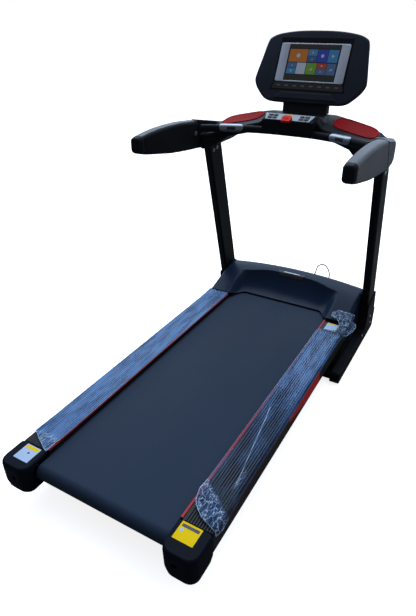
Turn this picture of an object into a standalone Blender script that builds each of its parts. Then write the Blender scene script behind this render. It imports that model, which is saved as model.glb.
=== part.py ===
"""Folding motor treadmill with incline lift, armrests and a screen console.

Metres, +Z up, +Y towards the motor end, +X the runner's right hand. The origin is on the
floor, under the middle of the machine. It is drawn at rest: deck down, no incline.
"""

import math

import bmesh
import bpy
from mathutils import Matrix, Vector

# ---------------------------------------------------------------- driving dimensions
GAP = 0.0003  # between pieces that rest on each other
FRONT_Y = 0.940  # front of the hood and of the base covers
REAR_Y = -0.940  # rear of the end caps

BELT_HALF = 0.270
BELT_THICK = 0.0025
ROLLER_Z = 0.146
ROLLER_RADIUS = 0.0292
REAR_ROLLER_Y = -0.861
FRONT_ROLLER_Y = 0.685
DECK_THICK = 0.022

RAIL_TOP = 0.195
RAIL_INNER, RAIL_OUTER = 0.286, 0.395
RAIL_REAR, RAIL_FRONT = -0.819, 0.543
RAIL_RIBS = 10
SIDE_TUBE = (0.300, 0.350)  # deck side tube, inner and outer face
SIDE_TUBE_Z = (0.104, 0.1825)

CAP_FRONT = -0.8195
REAR_FOOT_AT = (0.325, -0.790)
HOOD_REAR_ARM = 0.545
HOOD_BOTTOM = 0.090
HOOD_HALF = 0.395

FOLD_HINGE = (0.86, 0.14)  # Y, Z of the deck's fold hinge
LIFT_PIVOT = (0.40, 0.056)  # Y, Z of the lift frame's pivot on the base
LIFT_LUG = (0.62, 0.066)  # Y, Z where the lift screw pushes the lift frame
LIFT_MOTOR_PIN = (0.832, 0.027)  # Y, Z of the lift motor's pin on the base
LIFT_X = -0.10
STRUT_LOW = (0.74, 0.074)  # Y, Z of the gas strut's pin on the fold carrier
STRUT_HIGH = (0.30, 0.086)  # Y, Z of the gas strut's rod eye under the deck
STRUT_X = 0.12
ARM_X = (0.372, 0.380)  # lift arms
CARRIER_X = (0.364, 0.370)  # carrier plates

UPRIGHT_X = (0.401, 0.440)
UPRIGHT_DEPTH = 0.123  # along Y
UPRIGHT_LEAN = -0.27  # dY/dZ
UPRIGHT_FOOT_Y = 0.8785  # its centreline at floor level
UPRIGHT_Z = (0.0455, 0.995)
UPRIGHT_WALL = 0.003

GRAB_RADIUS = 0.0165
GRAB_Z = 1.086
# Half of the grab bar in plan, from the middle out.
GRAB_ROUTE = ((0.0, 0.553), (0.113, 0.548), (0.204, 0.527), (0.315, 0.483), (0.388, 0.446))

PANEL_ORIGIN = Vector((0.0, 0.527, 1.136))  # near edge of the sloping keypad
PANEL_SLOPE = math.radians(24)
PANEL_LENGTH = 0.049

HEAD_ORIGIN = Vector((0.0, 0.800, 1.345))
HEAD_TILT = math.radians(25)

WHEEL_RADIUS = 0.026
WHEEL_AT = (0.340, 0.912, 0.029)

CORD_RADIUS = 0.0035
CORD_LIE = 0.0038  # height of its centre where it lies on the floor
GLAND_AT = (-0.060, 0.9303, 0.022)
GLAND_LENGTH = 0.030
# The mains lead's route, chosen by hand: out of the gland, down, forward, round and back.
CORD_ROUTE = (
    (-0.060, 0.9606, 0.022),
    (-0.060, 0.985, 0.0215),
    (-0.060, 1.030, 0.0075),
    (-0.061, 1.075, CORD_LIE),
    (-0.066, 1.170, CORD_LIE),
    (-0.064, 1.280, CORD_LIE),
    (-0.062, 1.370, CORD_LIE),
    (-0.067, 1.433, CORD_LIE),
    (-0.080, 1.500, CORD_LIE),
    (-0.087, 1.550, CORD_LIE),
    (-0.078, 1.588, CORD_LIE),
    (-0.050, 1.592, CORD_LIE),
    (-0.013, 1.545, CORD_LIE),
    (0.014, 1.490, CORD_LIE),
    (0.034, 1.429, CORD_LIE),
    (0.050, 1.340, CORD_LIE),
    (0.046, 1.250, CORD_LIE),
    (0.036, 1.160, CORD_LIE),
    (0.046, 1.085, CORD_LIE),
    (0.088, 1.050, CORD_LIE),
    (0.132, 1.078, CORD_LIE),
    (0.146, 1.140, CORD_LIE),
    (0.142, 1.215, 0.0060),
    (0.138, 1.262, 0.0135),
    (0.137, 1.285, 0.0150),
)
CORD_POINTS = 78
PLUG_LENGTH = 0.040

# ---------------------------------------------------------------- finishes
FINISHES = {
    "black_steel": ((0.020, 0.021, 0.024), 0.45, 0.0),
    "black_plastic": ((0.022, 0.026, 0.036), 0.42, 0.0),
    "hood_plastic": ((0.030, 0.040, 0.062), 0.38, 0.0),
    "armrest_foam": ((0.055, 0.060, 0.070), 0.62, 0.0),
    "belt_rubber": ((0.028, 0.036, 0.052), 0.72, 0.0),
    "rail_plastic": ((0.030, 0.036, 0.050), 0.40, 0.0),
    "red_plastic": ((0.420, 0.020, 0.025), 0.40, 0.0),
    "red_mat": ((0.300, 0.010, 0.015), 0.55, 0.0),
    "key_red": ((0.620, 0.020, 0.015), 0.35, 0.0),
    "panel_grey": ((0.250, 0.290, 0.360), 0.35, 0.3),
    "chrome": ((0.800, 0.810, 0.830), 0.12, 1.0),
    "bright_steel": ((0.550, 0.560, 0.580), 0.30, 1.0),
    "screen_frame": ((0.620, 0.650, 0.690), 0.30, 0.4),
    "board": ((0.200, 0.130, 0.080), 0.70, 0.0),
    "rubber": ((0.018, 0.018, 0.019), 0.80, 0.0),
    "motor_grey": ((0.080, 0.085, 0.095), 0.45, 0.6),
}


def finish_material(name):
    found = bpy.data.materials.get(name)
    if found:
        return found
    colour, roughness, metallic = FINISHES[name]
    made = bpy.data.materials.new(name)
    made.use_nodes = True
    shader = made.node_tree.nodes["Principled BSDF"]
    shader.inputs["Base Color"].default_value = (*colour, 1.0)
    shader.inputs["Roughness"].default_value = roughness
    shader.inputs["Metallic"].default_value = metallic
    made.diffuse_color = (*colour, 1.0)
    return made


# ---------------------------------------------------------------- modelling helpers
def clear_scene():
    for found in list(bpy.data.objects):
        bpy.data.objects.remove(found, do_unlink=True)


def collection(name):
    made = bpy.data.collections.new(name)
    bpy.context.scene.collection.children.link(made)
    return made


clear_scene()
TREADMILL = collection("treadmill")
HELPERS = collection("cutters_and_joined_pieces")


def keep(obj, name, finish):
    """Names an object, gives it its finish and files it with the machine's parts."""
    for user in list(obj.users_collection):
        user.objects.unlink(obj)
    TREADMILL.objects.link(obj)
    obj.name = name
    obj.data.name = name
    if finish:
        obj.data.materials.clear()
        obj.data.materials.append(finish_material(finish))
    return obj


def as_helper(obj):
    """A cutter, or a piece that a Boolean joins to another."""
    for user in list(obj.users_collection):
        user.objects.unlink(obj)
    HELPERS.objects.link(obj)
    obj.hide_render = True
    obj.display_type = "WIRE"
    return obj


def combine(target, operation, pieces):
    for piece in pieces:
        modifier = target.modifiers.new(f"{operation.lower()} {piece.name}", "BOOLEAN")
        modifier.operation = operation
        modifier.object = as_helper(piece)
    return target


def unite(target, *pieces):
    return combine(target, "UNION", pieces)


def cut(target, *pieces):
    return combine(target, "DIFFERENCE", pieces)


def bevelled(obj, width, segments=2):
    modifier = obj.modifiers.new("rounded edges", "BEVEL")
    modifier.width = width
    modifier.segments = segments
    modifier.limit_method = "ANGLE"
    return obj


def smooth(obj, degrees=35):
    obj.data.shade_smooth()
    obj.data.set_sharp_from_angle(angle=math.radians(degrees))
    return obj


def box(name, low, high, finish=None, edge=0.0):
    """A box between two corners, its edges rounded off where edge is more than 0."""
    low, high = Vector(low), Vector(high)
    bpy.ops.mesh.primitive_cube_add(size=1.0)
    made = keep(bpy.context.object, name, finish)
    made.data.transform(Matrix.Diagonal((*(high - low), 1.0)))
    made.location = (low + high) / 2
    return bevelled(made, edge, 1) if edge else made


def cylinder(name, start, end, radius, finish=None, sides=18, tip=None):
    """A round bar from start to end. A tip radius makes it a cone."""
    start, end = Vector(start), Vector(end)
    along = end - start
    bpy.ops.mesh.primitive_cone_add(
        vertices=sides, radius1=radius, radius2=radius if tip is None else tip, depth=along.length
    )
    made = keep(bpy.context.object, name, finish)
    made.rotation_mode = "QUATERNION"
    made.rotation_quaternion = along.to_track_quat("Z", "Y")
    made.location = (start + end) / 2
    return smooth(made)


def mesh_from_curve(obj, name, finish):
    """Turns a curve object into a closed mesh that Booleans can use."""
    bpy.context.view_layer.update()
    graph = bpy.context.evaluated_depsgraph_get()
    data = bpy.data.meshes.new_from_object(obj.evaluated_get(graph))
    work = bmesh.new()
    work.from_mesh(data)
    bmesh.ops.remove_doubles(work, verts=work.verts, dist=1e-5)
    bmesh.ops.recalc_face_normals(work, faces=work.faces)
    work.to_mesh(data)
    work.free()
    placed = obj.matrix_world.copy()
    old = obj.data
    bpy.data.objects.remove(obj, do_unlink=True)
    bpy.data.curves.remove(old)
    made = bpy.data.objects.new(name, data)
    TREADMILL.objects.link(made)
    keep(made, name, finish)
    made.matrix_world = placed
    return made


# Axes that put an outline's own x and y along world Y and Z, and its thickness along X.
ALONG_X = Matrix(((0, 0, 1, 0), (1, 0, 0, 0), (0, 1, 0, 0), (0, 0, 0, 1)))


def extruded(name, outlines, low, high, finish=None, axes=ALONG_X):
    """Flat outlines (the first outside, the others holes) given a thickness from low to high."""
    data = bpy.data.curves.new(name, "CURVE")
    data.dimensions = "2D"
    data.fill_mode = "BOTH"
    data.extrude = (high - low) / 2
    for outline in outlines:
        spline = data.splines.new("POLY")
        spline.points.add(len(outline) - 1)
        for point, (a, b) in zip(spline.points, outline):
            point.co = (a, b, 0.0, 1.0)
        spline.use_cyclic_u = True
    made = bpy.data.objects.new(name, data)
    TREADMILL.objects.link(made)
    made.matrix_world = axes @ Matrix.Translation((0, 0, (low + high) / 2))
    return mesh_from_curve(made, name, finish)


def swept(name, points, radius, finish=None, sides_setting=3):
    """A round bar along a route."""
    data = bpy.data.curves.new(name, "CURVE")
    data.dimensions = "3D"
    data.bevel_depth = radius
    data.bevel_resolution = sides_setting
    data.use_fill_caps = True
    spline = data.splines.new("POLY")
    spline.points.add(len(points) - 1)
    for point, where in zip(spline.points, points):
        point.co = (*where, 1.0)
    made = bpy.data.objects.new(name, data)
    TREADMILL.objects.link(made)
    return smooth(mesh_from_curve(made, name, finish))


def lofted(name, rings, finish=None):
    """A solid through rings of points, closed at both ends."""
    work = bmesh.new()
    rows = [[work.verts.new(point) for point in ring] for ring in rings]
    count = len(rows[0])
    for here, there in zip(rows, rows[1:]):
        for i in range(count):
            j = (i + 1) % count
            work.faces.new((here[i], here[j], there[j], there[i]))
    work.faces.new(list(reversed(rows[0])))
    work.faces.new(rows[-1])
    bmesh.ops.recalc_face_normals(work, faces=work.faces)
    data = bpy.data.meshes.new(name)
    work.to_mesh(data)
    work.free()
    made = bpy.data.objects.new(name, data)
    TREADMILL.objects.link(made)
    return smooth(keep(made, name, finish))


def arc(centre, radius, start, end, steps):
    """Points on an arc, its angles in degrees."""
    return [
        (
            centre[0] + radius * math.cos(math.radians(start + (end - start) * i / steps)),
            centre[1] + radius * math.sin(math.radians(start + (end - start) * i / steps)),
        )
        for i in range(steps + 1)
    ]


def rounded_rectangle(low, high, radius, steps=4):
    (x0, y0), (x1, y1) = low, high
    return (
        arc((x1 - radius, y0 + radius), radius, -90, 0, steps)
        + arc((x1 - radius, y1 - radius), radius, 0, 90, steps)
        + arc((x0 + radius, y1 - radius), radius, 90, 180, steps)
        + arc((x0 + radius, y0 + radius), radius, 180, 270, steps)
    )


def link_outline(start, start_radius, end, end_radius, steps=5):
    """A flat link with a round end about each of two pins."""
    turn = math.degrees(math.atan2(end[1] - start[1], end[0] - start[0]))
    return arc(start, start_radius, turn + 90, turn + 270, steps) + arc(
        end, end_radius, turn - 90, turn + 90, steps
    )


def smooth_route(route, count):
    """Evenly spaced points on one smooth curve (Catmull-Rom) through a route's points."""
    knots = [Vector(point) for point in route]
    knots = [2 * knots[0] - knots[1], *knots, 2 * knots[-1] - knots[-2]]
    fine = []
    for a, b, c, d in zip(knots, knots[1:], knots[2:], knots[3:]):
        for i in range(24):
            t = i / 24
            fine.append(
                0.5
                * (
                    2 * b
                    + (c - a) * t
                    + (2 * a - 5 * b + 4 * c - d) * t**2
                    + (3 * b - a - 3 * c + d) * t**3
                )
            )
    fine.append(knots[-2])
    travelled = [0.0]
    for here, there in zip(fine, fine[1:]):
        travelled.append(travelled[-1] + (there - here).length)
    points, at = [], 0
    for i in range(count):
        want = travelled[-1] * i / (count - 1)
        while at < len(fine) - 2 and travelled[at + 1] < want:
            at += 1
        span = travelled[at + 1] - travelled[at]
        points.append(fine[at].lerp(fine[at + 1], (want - travelled[at]) / span))
    return points


def interpolate(table, x):
    """Straight-line reading of a table of (x, value) pairs."""
    x = abs(x)
    for (x0, v0), (x1, v1) in zip(table, table[1:]):
        if x <= x1:
            return v0 + (v1 - v0) * (x - x0) / (x1 - x0)
    return table[-1][1]


def sided(side, low, high):
    """An X range for the right side (+1) or its mirror on the left (-1), low to high."""
    return (low, high) if side > 0 else (-high, -low)


def side_name(side):
    return "right" if side > 0 else "left"


# ---------------------------------------------------------------- base
def upright_outline(grow, low, high):
    """The upright's side view as a leaning band from height low to height high."""
    half = UPRIGHT_DEPTH / 2 + grow
    return [
        (UPRIGHT_FOOT_Y + UPRIGHT_LEAN * low - half, low),
        (UPRIGHT_FOOT_Y + UPRIGHT_LEAN * low + half, low),
        (UPRIGHT_FOOT_Y + UPRIGHT_LEAN * high + half, high),
        (UPRIGHT_FOOT_Y + UPRIGHT_LEAN * high - half, high),
    ]


def upright_cutter(side):
    clear = 0.0005
    return extruded(
        "upright_clearance",
        [upright_outline(clear, UPRIGHT_Z[0] - 0.03, UPRIGHT_Z[1] + 0.001)],
        *sided(side, UPRIGHT_X[0] - clear, UPRIGHT_X[1] + clear),
    )


def make_base_frame():
    rail_z = (0.012, 0.045)
    frame = box("base_frame", (-0.405, 0.850, 0.012), (0.405, 0.878, 0.036), "black_steel")
    pieces = [box("rear_cross", (-0.405, 0.380, 0.012), (0.405, 0.420, 0.034))]
    for plate_x in (LIFT_X - 0.016, LIFT_X + 0.016):
        pieces.append(
            box(
                "motor_clevis",
                (plate_x - 0.003, LIFT_MOTOR_PIN[0] - 0.013, 0.014),
                (plate_x + 0.003, 0.860, 0.040),
            )
        )
    for side in (1, -1):
        pieces.append(
            box(
                "side_rail",
                (sided(side, 0.400, 0.440)[0], 0.325, rail_z[0]),
                (sided(side, 0.400, 0.440)[1], 0.925, rail_z[1]),
            )
        )
        x0, x1 = sided(side, 0.345, 0.402)
        pieces.append(box("side_plate", (x0, 0.325, 0.012), (x1, 0.852, 0.034)))
        for foot_y in (0.370, 0.900):
            centre = side * 0.420
            pieces.append(
                cylinder("foot_pad", (centre, foot_y, 0.0), (centre, foot_y, 0.014), 0.018)
            )
        x0, x1 = sided(side, 0.384, 0.392)
        pieces.append(
            extruded("pivot_lug", [link_outline(LIFT_PIVOT, 0.018, (0.40, 0.028), 0.018)], x0, x1)
        )
        pieces.append(
            cylinder(
                "pivot_pin",
                (side * 0.3700, *LIFT_PIVOT),
                (side * 0.3880, *LIFT_PIVOT),
                0.009,
            )
        )
        for plate in (-0.0165, 0.0165):
            centre = side * WHEEL_AT[0] + plate
            pieces.append(
                extruded(
                    "wheel_bracket",
                    [link_outline((0.865, 0.024), 0.011, WHEEL_AT[1:], 0.011)],
                    centre - 0.002,
                    centre + 0.002,
                )
            )
        pieces.append(
            cylinder(
                "wheel_axle",
                (side * WHEEL_AT[0] - 0.018, *WHEEL_AT[1:]),
                (side * WHEEL_AT[0] + 0.018, *WHEEL_AT[1:]),
                0.005,
                sides=16,
            )
        )
    return unite(frame, *pieces)


def make_base_cover(side):
    """A plastic shoe along the base rail, which rises to a boot round the upright."""
    outline = (
        [(0.312, 0.006)]
        + arc((0.330, 0.040), 0.018, 180, 90, 4)
        + [(0.700, 0.064), (0.745, 0.076), (0.7645, 0.140)]
        + [(0.7560, 0.205), (0.8180, 0.236), (0.8860, 0.248)]
        + [(0.9050, 0.170), (0.9150, 0.140), (0.9400, 0.120), (0.9400, 0.004)]
    )
    cover = extruded(
        f"{side_name(side)}_base_cover", [outline], *sided(side, 0.3985, 0.4460), "black_plastic"
    )
    x0, x1 = sided(side, 0.3900, 0.4405)
    rail_space = box("rail_space", (x0, 0.3200, -0.01), (x1, 0.9300, 0.0458))
    # The upright's space is open on the inner side, where the boot has no wall.
    boot_space = extruded("boot_space", [upright_outline(0.0005, 0.03, 0.30)], x0, x1)
    return cut(cover, rail_space, boot_space)


def make_upright(side):
    """A leaning rounded tube, open at both ends."""
    centre_x = side * (UPRIGHT_X[0] + UPRIGHT_X[1]) / 2
    half_x = (UPRIGHT_X[1] - UPRIGHT_X[0]) / 2
    half_y = UPRIGHT_DEPTH / 2
    wall_y = UPRIGHT_WALL * 1.04

    def ring(grow_x, grow_y, radius, height):
        middle = UPRIGHT_FOOT_Y + UPRIGHT_LEAN * height
        return [
            (centre_x + x, middle + y, height)
            for x, y in rounded_rectangle(
                (-half_x - grow_x, -half_y - grow_y), (half_x + grow_x, half_y + grow_y), radius, 4
            )
        ]

    low, high = UPRIGHT_Z
    tube = lofted(
        f"{side_name(side)}_upright",
        [ring(0, 0, 0.010, low), ring(0, 0, 0.010, high)],
        "black_steel",
    )
    bore = lofted(
        "upright_bore",
        [
            ring(-UPRIGHT_WALL, -wall_y, 0.007, low - 0.02),
            ring(-UPRIGHT_WALL, -wall_y, 0.007, high + 0.02),
        ],
    )
    return cut(tube, bore)


def make_transport_wheel(side):
    x, y, z = WHEEL_AT
    wheel = cylinder(
        f"{side_name(side)}_transport_wheel",
        (side * x - 0.012, y, z),
        (side * x + 0.012, y, z),
        WHEEL_RADIUS,
        "rubber",
        sides=32,
    )
    bore = cylinder("bore", (side * x - 0.02, y, z), (side * x + 0.02, y, z), 0.0056, sides=16)
    return cut(bevelled(wheel, 0.002, 1), bore)


# ---------------------------------------------------------------- lift frame, carrier, strut
def make_lift_frame():
    knee = (0.600, 0.060)
    tube = cylinder(
        "lift_frame", (-0.375, *LIFT_PIVOT), (0.375, *LIFT_PIVOT), 0.013, "black_steel"
    )
    pieces = [cylinder("lift_cross_tube", (-0.375, 0.585, 0.050), (0.375, 0.585, 0.050), 0.012)]
    holes = []
    for side in (1, -1):
        arm_x = sided(side, *ARM_X)
        pieces.append(extruded("rear_arm", [link_outline(LIFT_PIVOT, 0.020, knee, 0.020)], *arm_x))
        pieces.append(extruded("front_arm", [link_outline(knee, 0.020, FOLD_HINGE, 0.024)], *arm_x))
        holes.append(
            cylinder("pivot_hole", (side * 0.3685, *LIFT_PIVOT), (side * 0.39, *LIFT_PIVOT), 0.010)
        )
        holes.append(
            cylinder("hinge_hole", (side * 0.360, *FOLD_HINGE), (side * 0.39, *FOLD_HINGE), 0.0105)
        )
    for plate_x in (LIFT_X - 0.016, LIFT_X + 0.016):
        pieces.append(
            extruded(
                "screw_clevis",
                [link_outline((0.585, 0.050), 0.014, LIFT_LUG, 0.012)],
                plate_x - 0.003,
                plate_x + 0.003,
            )
        )
    return cut(unite(tube, *pieces), *holes)


def along_lift(distance, side_shift=0.0):
    """A point on the lift motor's line, a distance from its pin."""
    pin = Vector((LIFT_X + side_shift, *LIFT_MOTOR_PIN))
    lug = Vector((LIFT_X + side_shift, *LIFT_LUG))
    return pin.lerp(lug, distance / (lug - pin).length)


def lift_reach():
    return (Vector(LIFT_LUG) - Vector(LIFT_MOTOR_PIN)).length


def make_lift_motor():
    """Gearbox and screw housing on one line, with the motor barrel beside it."""
    reach = lift_reach()
    body = cylinder("lift_motor", along_lift(0.020), along_lift(0.155), 0.0125, "motor_grey")
    eye = cylinder(
        "tail_eye",
        (LIFT_X - 0.0115, *LIFT_MOTOR_PIN),
        (LIFT_X + 0.0115, *LIFT_MOTOR_PIN),
        0.0105,
    )
    shank = cylinder("tail_shank", along_lift(0.0), along_lift(0.030), 0.0080)
    barrel = cylinder(
        "motor_barrel", along_lift(0.070, -0.050), along_lift(0.180, -0.050), 0.0260, sides=28
    )
    gearbox = box("gearbox", (-0.055, -0.021, -0.017), (0.022, 0.021, 0.017), edge=0.004)
    middle = along_lift(0.090)
    slope = math.atan2(LIFT_LUG[1] - LIFT_MOTOR_PIN[1], LIFT_MOTOR_PIN[0] - LIFT_LUG[0])
    gearbox.location = middle + Vector((-0.0165, 0.0, 0.002))
    gearbox.rotation_euler = (-slope, 0.0, 0.0)
    bore = cylinder("screw_bore", along_lift(0.085), along_lift(reach), 0.0078, sides=16)
    return cut(unite(body, eye, shank, barrel, gearbox), bore)


def make_lift_screw():
    reach = lift_reach()
    rod = cylinder(
        "lift_screw", along_lift(0.095), along_lift(reach), 0.0070, "bright_steel", sides=16
    )
    eye = cylinder(
        "screw_eye", (LIFT_X - 0.0120, *LIFT_LUG), (LIFT_X + 0.0120, *LIFT_LUG), 0.0100
    )
    return unite(rod, eye)


def make_fold_carrier():
    """The hinge sub-frame between lift frame and deck, which also holds the strut's foot."""
    tube_at = (0.775, 0.076)
    tube = cylinder("fold_carrier", (-0.367, *tube_at), (0.367, *tube_at), 0.0125, "black_steel")
    pieces = []
    for side in (1, -1):
        pieces.append(
            extruded(
                "hinge_plate",
                [link_outline(tube_at, 0.016, FOLD_HINGE, 0.020)],
                *sided(side, *CARRIER_X),
            )
        )
        pieces.append(
            cylinder("hinge_pin", (side * 0.3350, *FOLD_HINGE), (side * 0.3830, *FOLD_HINGE), 0.0095)
        )
        pieces.append(
            cylinder("spacer", (side * 0.3515, *FOLD_HINGE), (side * 0.3670, *FOLD_HINGE), 0.0150)
        )
    for plate_x in (STRUT_X - 0.0145, STRUT_X + 0.0145):
        pieces.append(
            extruded(
                "strut_clevis",
                [link_outline(tube_at, 0.010, STRUT_LOW, 0.010)],
                plate_x - 0.003,
                plate_x + 0.003,
            )
        )
    return unite(tube, *pieces)


def along_strut(distance):
    low = Vector((STRUT_X, *STRUT_LOW))
    high = Vector((STRUT_X, *STRUT_HIGH))
    return low.lerp(high, distance / (high - low).length)


def make_strut_cylinder():
    body = cylinder("strut_cylinder", along_strut(0.022), along_strut(0.255), 0.0100, "black_steel")
    neck = cylinder("strut_neck", along_strut(0.0), along_strut(0.030), 0.0050, sides=16)
    eye = cylinder(
        "strut_foot_eye", (STRUT_X - 0.0100, *STRUT_LOW), (STRUT_X + 0.0100, *STRUT_LOW), 0.0085
    )
    bore = cylinder("strut_bore", along_strut(0.035), along_strut(0.300), 0.0056, sides=16)
    return cut(unite(body, neck, eye), bore)


def make_strut_rod():
    reach = (Vector(STRUT_HIGH) - Vector(STRUT_LOW)).length
    rod = cylinder(
        "strut_rod", along_strut(0.050), along_strut(reach), 0.0050, "bright_steel", sides=16
    )
    eye = cylinder(
        "rod_eye", (STRUT_X - 0.0055, *STRUT_HIGH), (STRUT_X + 0.0055, *STRUT_HIGH), 0.0090
    )
    return unite(rod, eye)


# ---------------------------------------------------------------- deck
def make_deck_frame():
    z0, z1 = SIDE_TUBE_Z
    frame = box("deck_frame", (-0.305, -0.720, 0.122), (0.305, -0.680, 0.1525), "black_steel")
    pieces = [
        box("cross_tube", (-0.305, y - 0.02, 0.122), (0.305, y + 0.02, 0.1525))
        for y in (-0.30, 0.12, 0.50)
    ]
    pieces.append(box("strut_bar", (-0.305, 0.270, 0.1045), (0.305, 0.310, 0.1115)))
    pieces.append(box("motor_cross_tube", (-0.305, 0.800, 0.106), (0.305, 0.870, 0.132)))
    pieces.append(
        extruded(
            "strut_lug",
            [link_outline(STRUT_HIGH, 0.009, (0.29, 0.101), 0.010)],
            STRUT_X + 0.0115,
            STRUT_X + 0.0165,
        )
    )
    holes = []
    for side in (1, -1):
        x0, x1 = sided(side, *SIDE_TUBE)
        pieces.append(box("side_tube", (x0, -0.870, z0), (x1, 0.900, z1)))
        holes.append(
            cylinder("hinge_hole", (side * 0.325, *FOLD_HINGE), (side * 0.36, *FOLD_HINGE), 0.0105)
        )
        for roller_y in (REAR_ROLLER_Y, FRONT_ROLLER_Y):
            holes.append(
                cylinder(
                    "axle_hole",
                    (side * 0.290, roller_y, ROLLER_Z),
                    (side * 0.322, roller_y, ROLLER_Z),
                    0.0095,
                )
            )
    return cut(unite(frame, *pieces), *holes)


def make_running_deck():
    top = ROLLER_Z + ROLLER_RADIUS
    return box(
        "running_deck",
        (-0.298, -0.822, top - DECK_THICK),
        (0.298, 0.630, top),
        "board",
        edge=0.002,
    )


def belt_loop(radius, steps=14):
    rear, front = (REAR_ROLLER_Y, ROLLER_Z), (FRONT_ROLLER_Y, ROLLER_Z)
    return arc(front, radius, -90, 90, steps) + arc(rear, radius, 90, 270, steps)


def make_running_belt():
    inner = ROLLER_RADIUS + GAP
    belt = extruded(
        "running_belt",
        [belt_loop(inner + BELT_THICK), belt_loop(inner)],
        -BELT_HALF,
        BELT_HALF,
        "belt_rubber",
    )
    return smooth(belt)


def make_roller(name, y):
    half, axle_end = 0.2730, 0.3180
    roller = cylinder(
        name, (-half, y, ROLLER_Z), (half, y, ROLLER_Z), ROLLER_RADIUS, "bright_steel", sides=32
    )
    axle = cylinder("axle", (-axle_end, y, ROLLER_Z), (axle_end, y, ROLLER_Z), 0.0085)
    return unite(roller, axle)


PULLEY_X = (-0.2975, -0.2765)
FRONT_PULLEY_RADIUS = 0.040
MOTOR_PULLEY_RADIUS = 0.020
MOTOR_AT = (0.835, 0.187)  # Y, Z of the drive motor's shaft
DRIVE_BELT_THICK = 0.0030


def make_front_roller():
    roller = make_roller("front_roller", FRONT_ROLLER_Y)
    at = (FRONT_ROLLER_Y, ROLLER_Z)
    pulley = cylinder(
        "roller_pulley", (PULLEY_X[0], *at), (PULLEY_X[1], *at), FRONT_PULLEY_RADIUS, sides=40
    )
    hub = cylinder("pulley_hub", (PULLEY_X[1] - 0.002, *at), (-0.270, *at), 0.020)
    return unite(roller, pulley, hub)


def make_drive_belt():
    """The ribbed belt round both pulleys: an open loop, following their common tangents."""
    big, small = (FRONT_ROLLER_Y, ROLLER_Z), MOTOR_AT
    apart = math.dist(big, small)
    lean = math.degrees(math.atan2(small[1] - big[1], small[0] - big[0]))
    wrap = math.degrees(math.acos((FRONT_PULLEY_RADIUS - MOTOR_PULLEY_RADIUS) / apart))

    def loop(grow):
        return arc(small, MOTOR_PULLEY_RADIUS + grow, lean - wrap, lean + wrap, 12) + arc(
            big, FRONT_PULLEY_RADIUS + grow, lean + wrap, lean + 360 - wrap, 24
        )

    return extruded(
        "drive_belt",
        [loop(GAP + DRIVE_BELT_THICK), loop(GAP)],
        PULLEY_X[0] + 0.002,
        PULLEY_X[1] - 0.002,
        "rubber",
    )


def make_drive_motor():
    y, z = MOTOR_AT
    motor = cylinder("drive_motor", (-0.225, y, z), (-0.060, y, z), 0.045, "motor_grey", sides=36)
    fan = cylinder("motor_fan", (-0.061, y, z), (-0.035, y, z), 0.038, sides=32)
    shaft = cylinder("motor_shaft", (-0.2730, y, z), (-0.210, y, z), 0.0080, sides=16)
    foot = box("motor_foot", (-0.200, 0.805, 0.1323), (-0.080, 0.865, 0.160))
    return unite(motor, fan, shaft, foot)


def make_motor_pulley():
    y, z = MOTOR_AT
    pulley = cylinder(
        "motor_pulley",
        (PULLEY_X[0], y, z),
        (PULLEY_X[1], y, z),
        MOTOR_PULLEY_RADIUS,
        "motor_grey",
        sides=32,
    )
    flywheel = cylinder("flywheel", (PULLEY_X[1] - 0.001, y, z), (-0.2740, y, z), 0.0170, sides=32)
    return unite(pulley, flywheel)


def make_motor_controller():
    body = box("motor_controller", (0.060, 0.762, 0.1323), (0.240, 0.895, 0.150), "motor_grey")
    fins = [
        box("fin", (0.070 + 0.020 * i, 0.770, 0.148), (0.076 + 0.020 * i, 0.885, 0.178))
        for i in range(9)
    ]
    return unite(body, *fins)


def make_motor_pan():
    """The tray under the motor space, with upturned edges and cooling slots."""
    pan = box("motor_pan", (-0.2985, 0.605, 0.0950), (0.2985, 0.928, 0.1020), "black_plastic")
    hollow = box("pan_hollow", (-0.2950, 0.609, 0.0985), (0.2950, 0.924, 0.1100))
    slots = [
        box("slot", (-0.14 + 0.04 * i, 0.660, 0.08), (-0.13 + 0.04 * i, 0.740, 0.12))
        for i in range(8)
    ]
    return cut(pan, hollow, *slots)


def make_foot_rail(side):
    """A ribbed step with a side skirt, as one drawn profile."""
    rib_low = RAIL_TOP - 0.0022
    flat_in, flat_out = RAIL_INNER + 0.006, RAIL_OUTER - 0.009
    pitch = (flat_out - flat_in) / RAIL_RIBS
    outline = [(RAIL_INNER, 0.1832), (RAIL_INNER, rib_low), (flat_in, rib_low)]
    for i in range(RAIL_RIBS):
        start = flat_in + i * pitch
        outline += [
            (start + 0.20 * pitch, RAIL_TOP),
            (start + 0.65 * pitch, RAIL_TOP),
            (start + 0.85 * pitch, rib_low),
        ]
    outline += arc((RAIL_OUTER - 0.006, RAIL_TOP - 0.006), 0.006, 90, 0, 4)
    outline += [(RAIL_OUTER, 0.1100), (RAIL_OUTER - 0.004, 0.1100), (RAIL_OUTER - 0.004, 0.1832)]
    outline = [(side * x, z) for x, z in outline]
    upright_section = Matrix(((1, 0, 0, 0), (0, 0, -1, 0), (0, 1, 0, 0), (0, 0, 0, 1)))
    return extruded(
        f"{side_name(side)}_foot_rail",
        [outline],
        -RAIL_FRONT,
        -RAIL_REAR,
        "rail_plastic",
        upright_section,
    )


def make_rail_trim(side):
    x0, x1 = sided(side, 0.2760, 0.2855)
    return box(
        f"{side_name(side)}_rail_trim",
        (x0, RAIL_REAR + 0.004, 0.1762),
        (x1, RAIL_FRONT, 0.1965),
        "red_plastic",
        edge=0.0015,
    )


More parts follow.
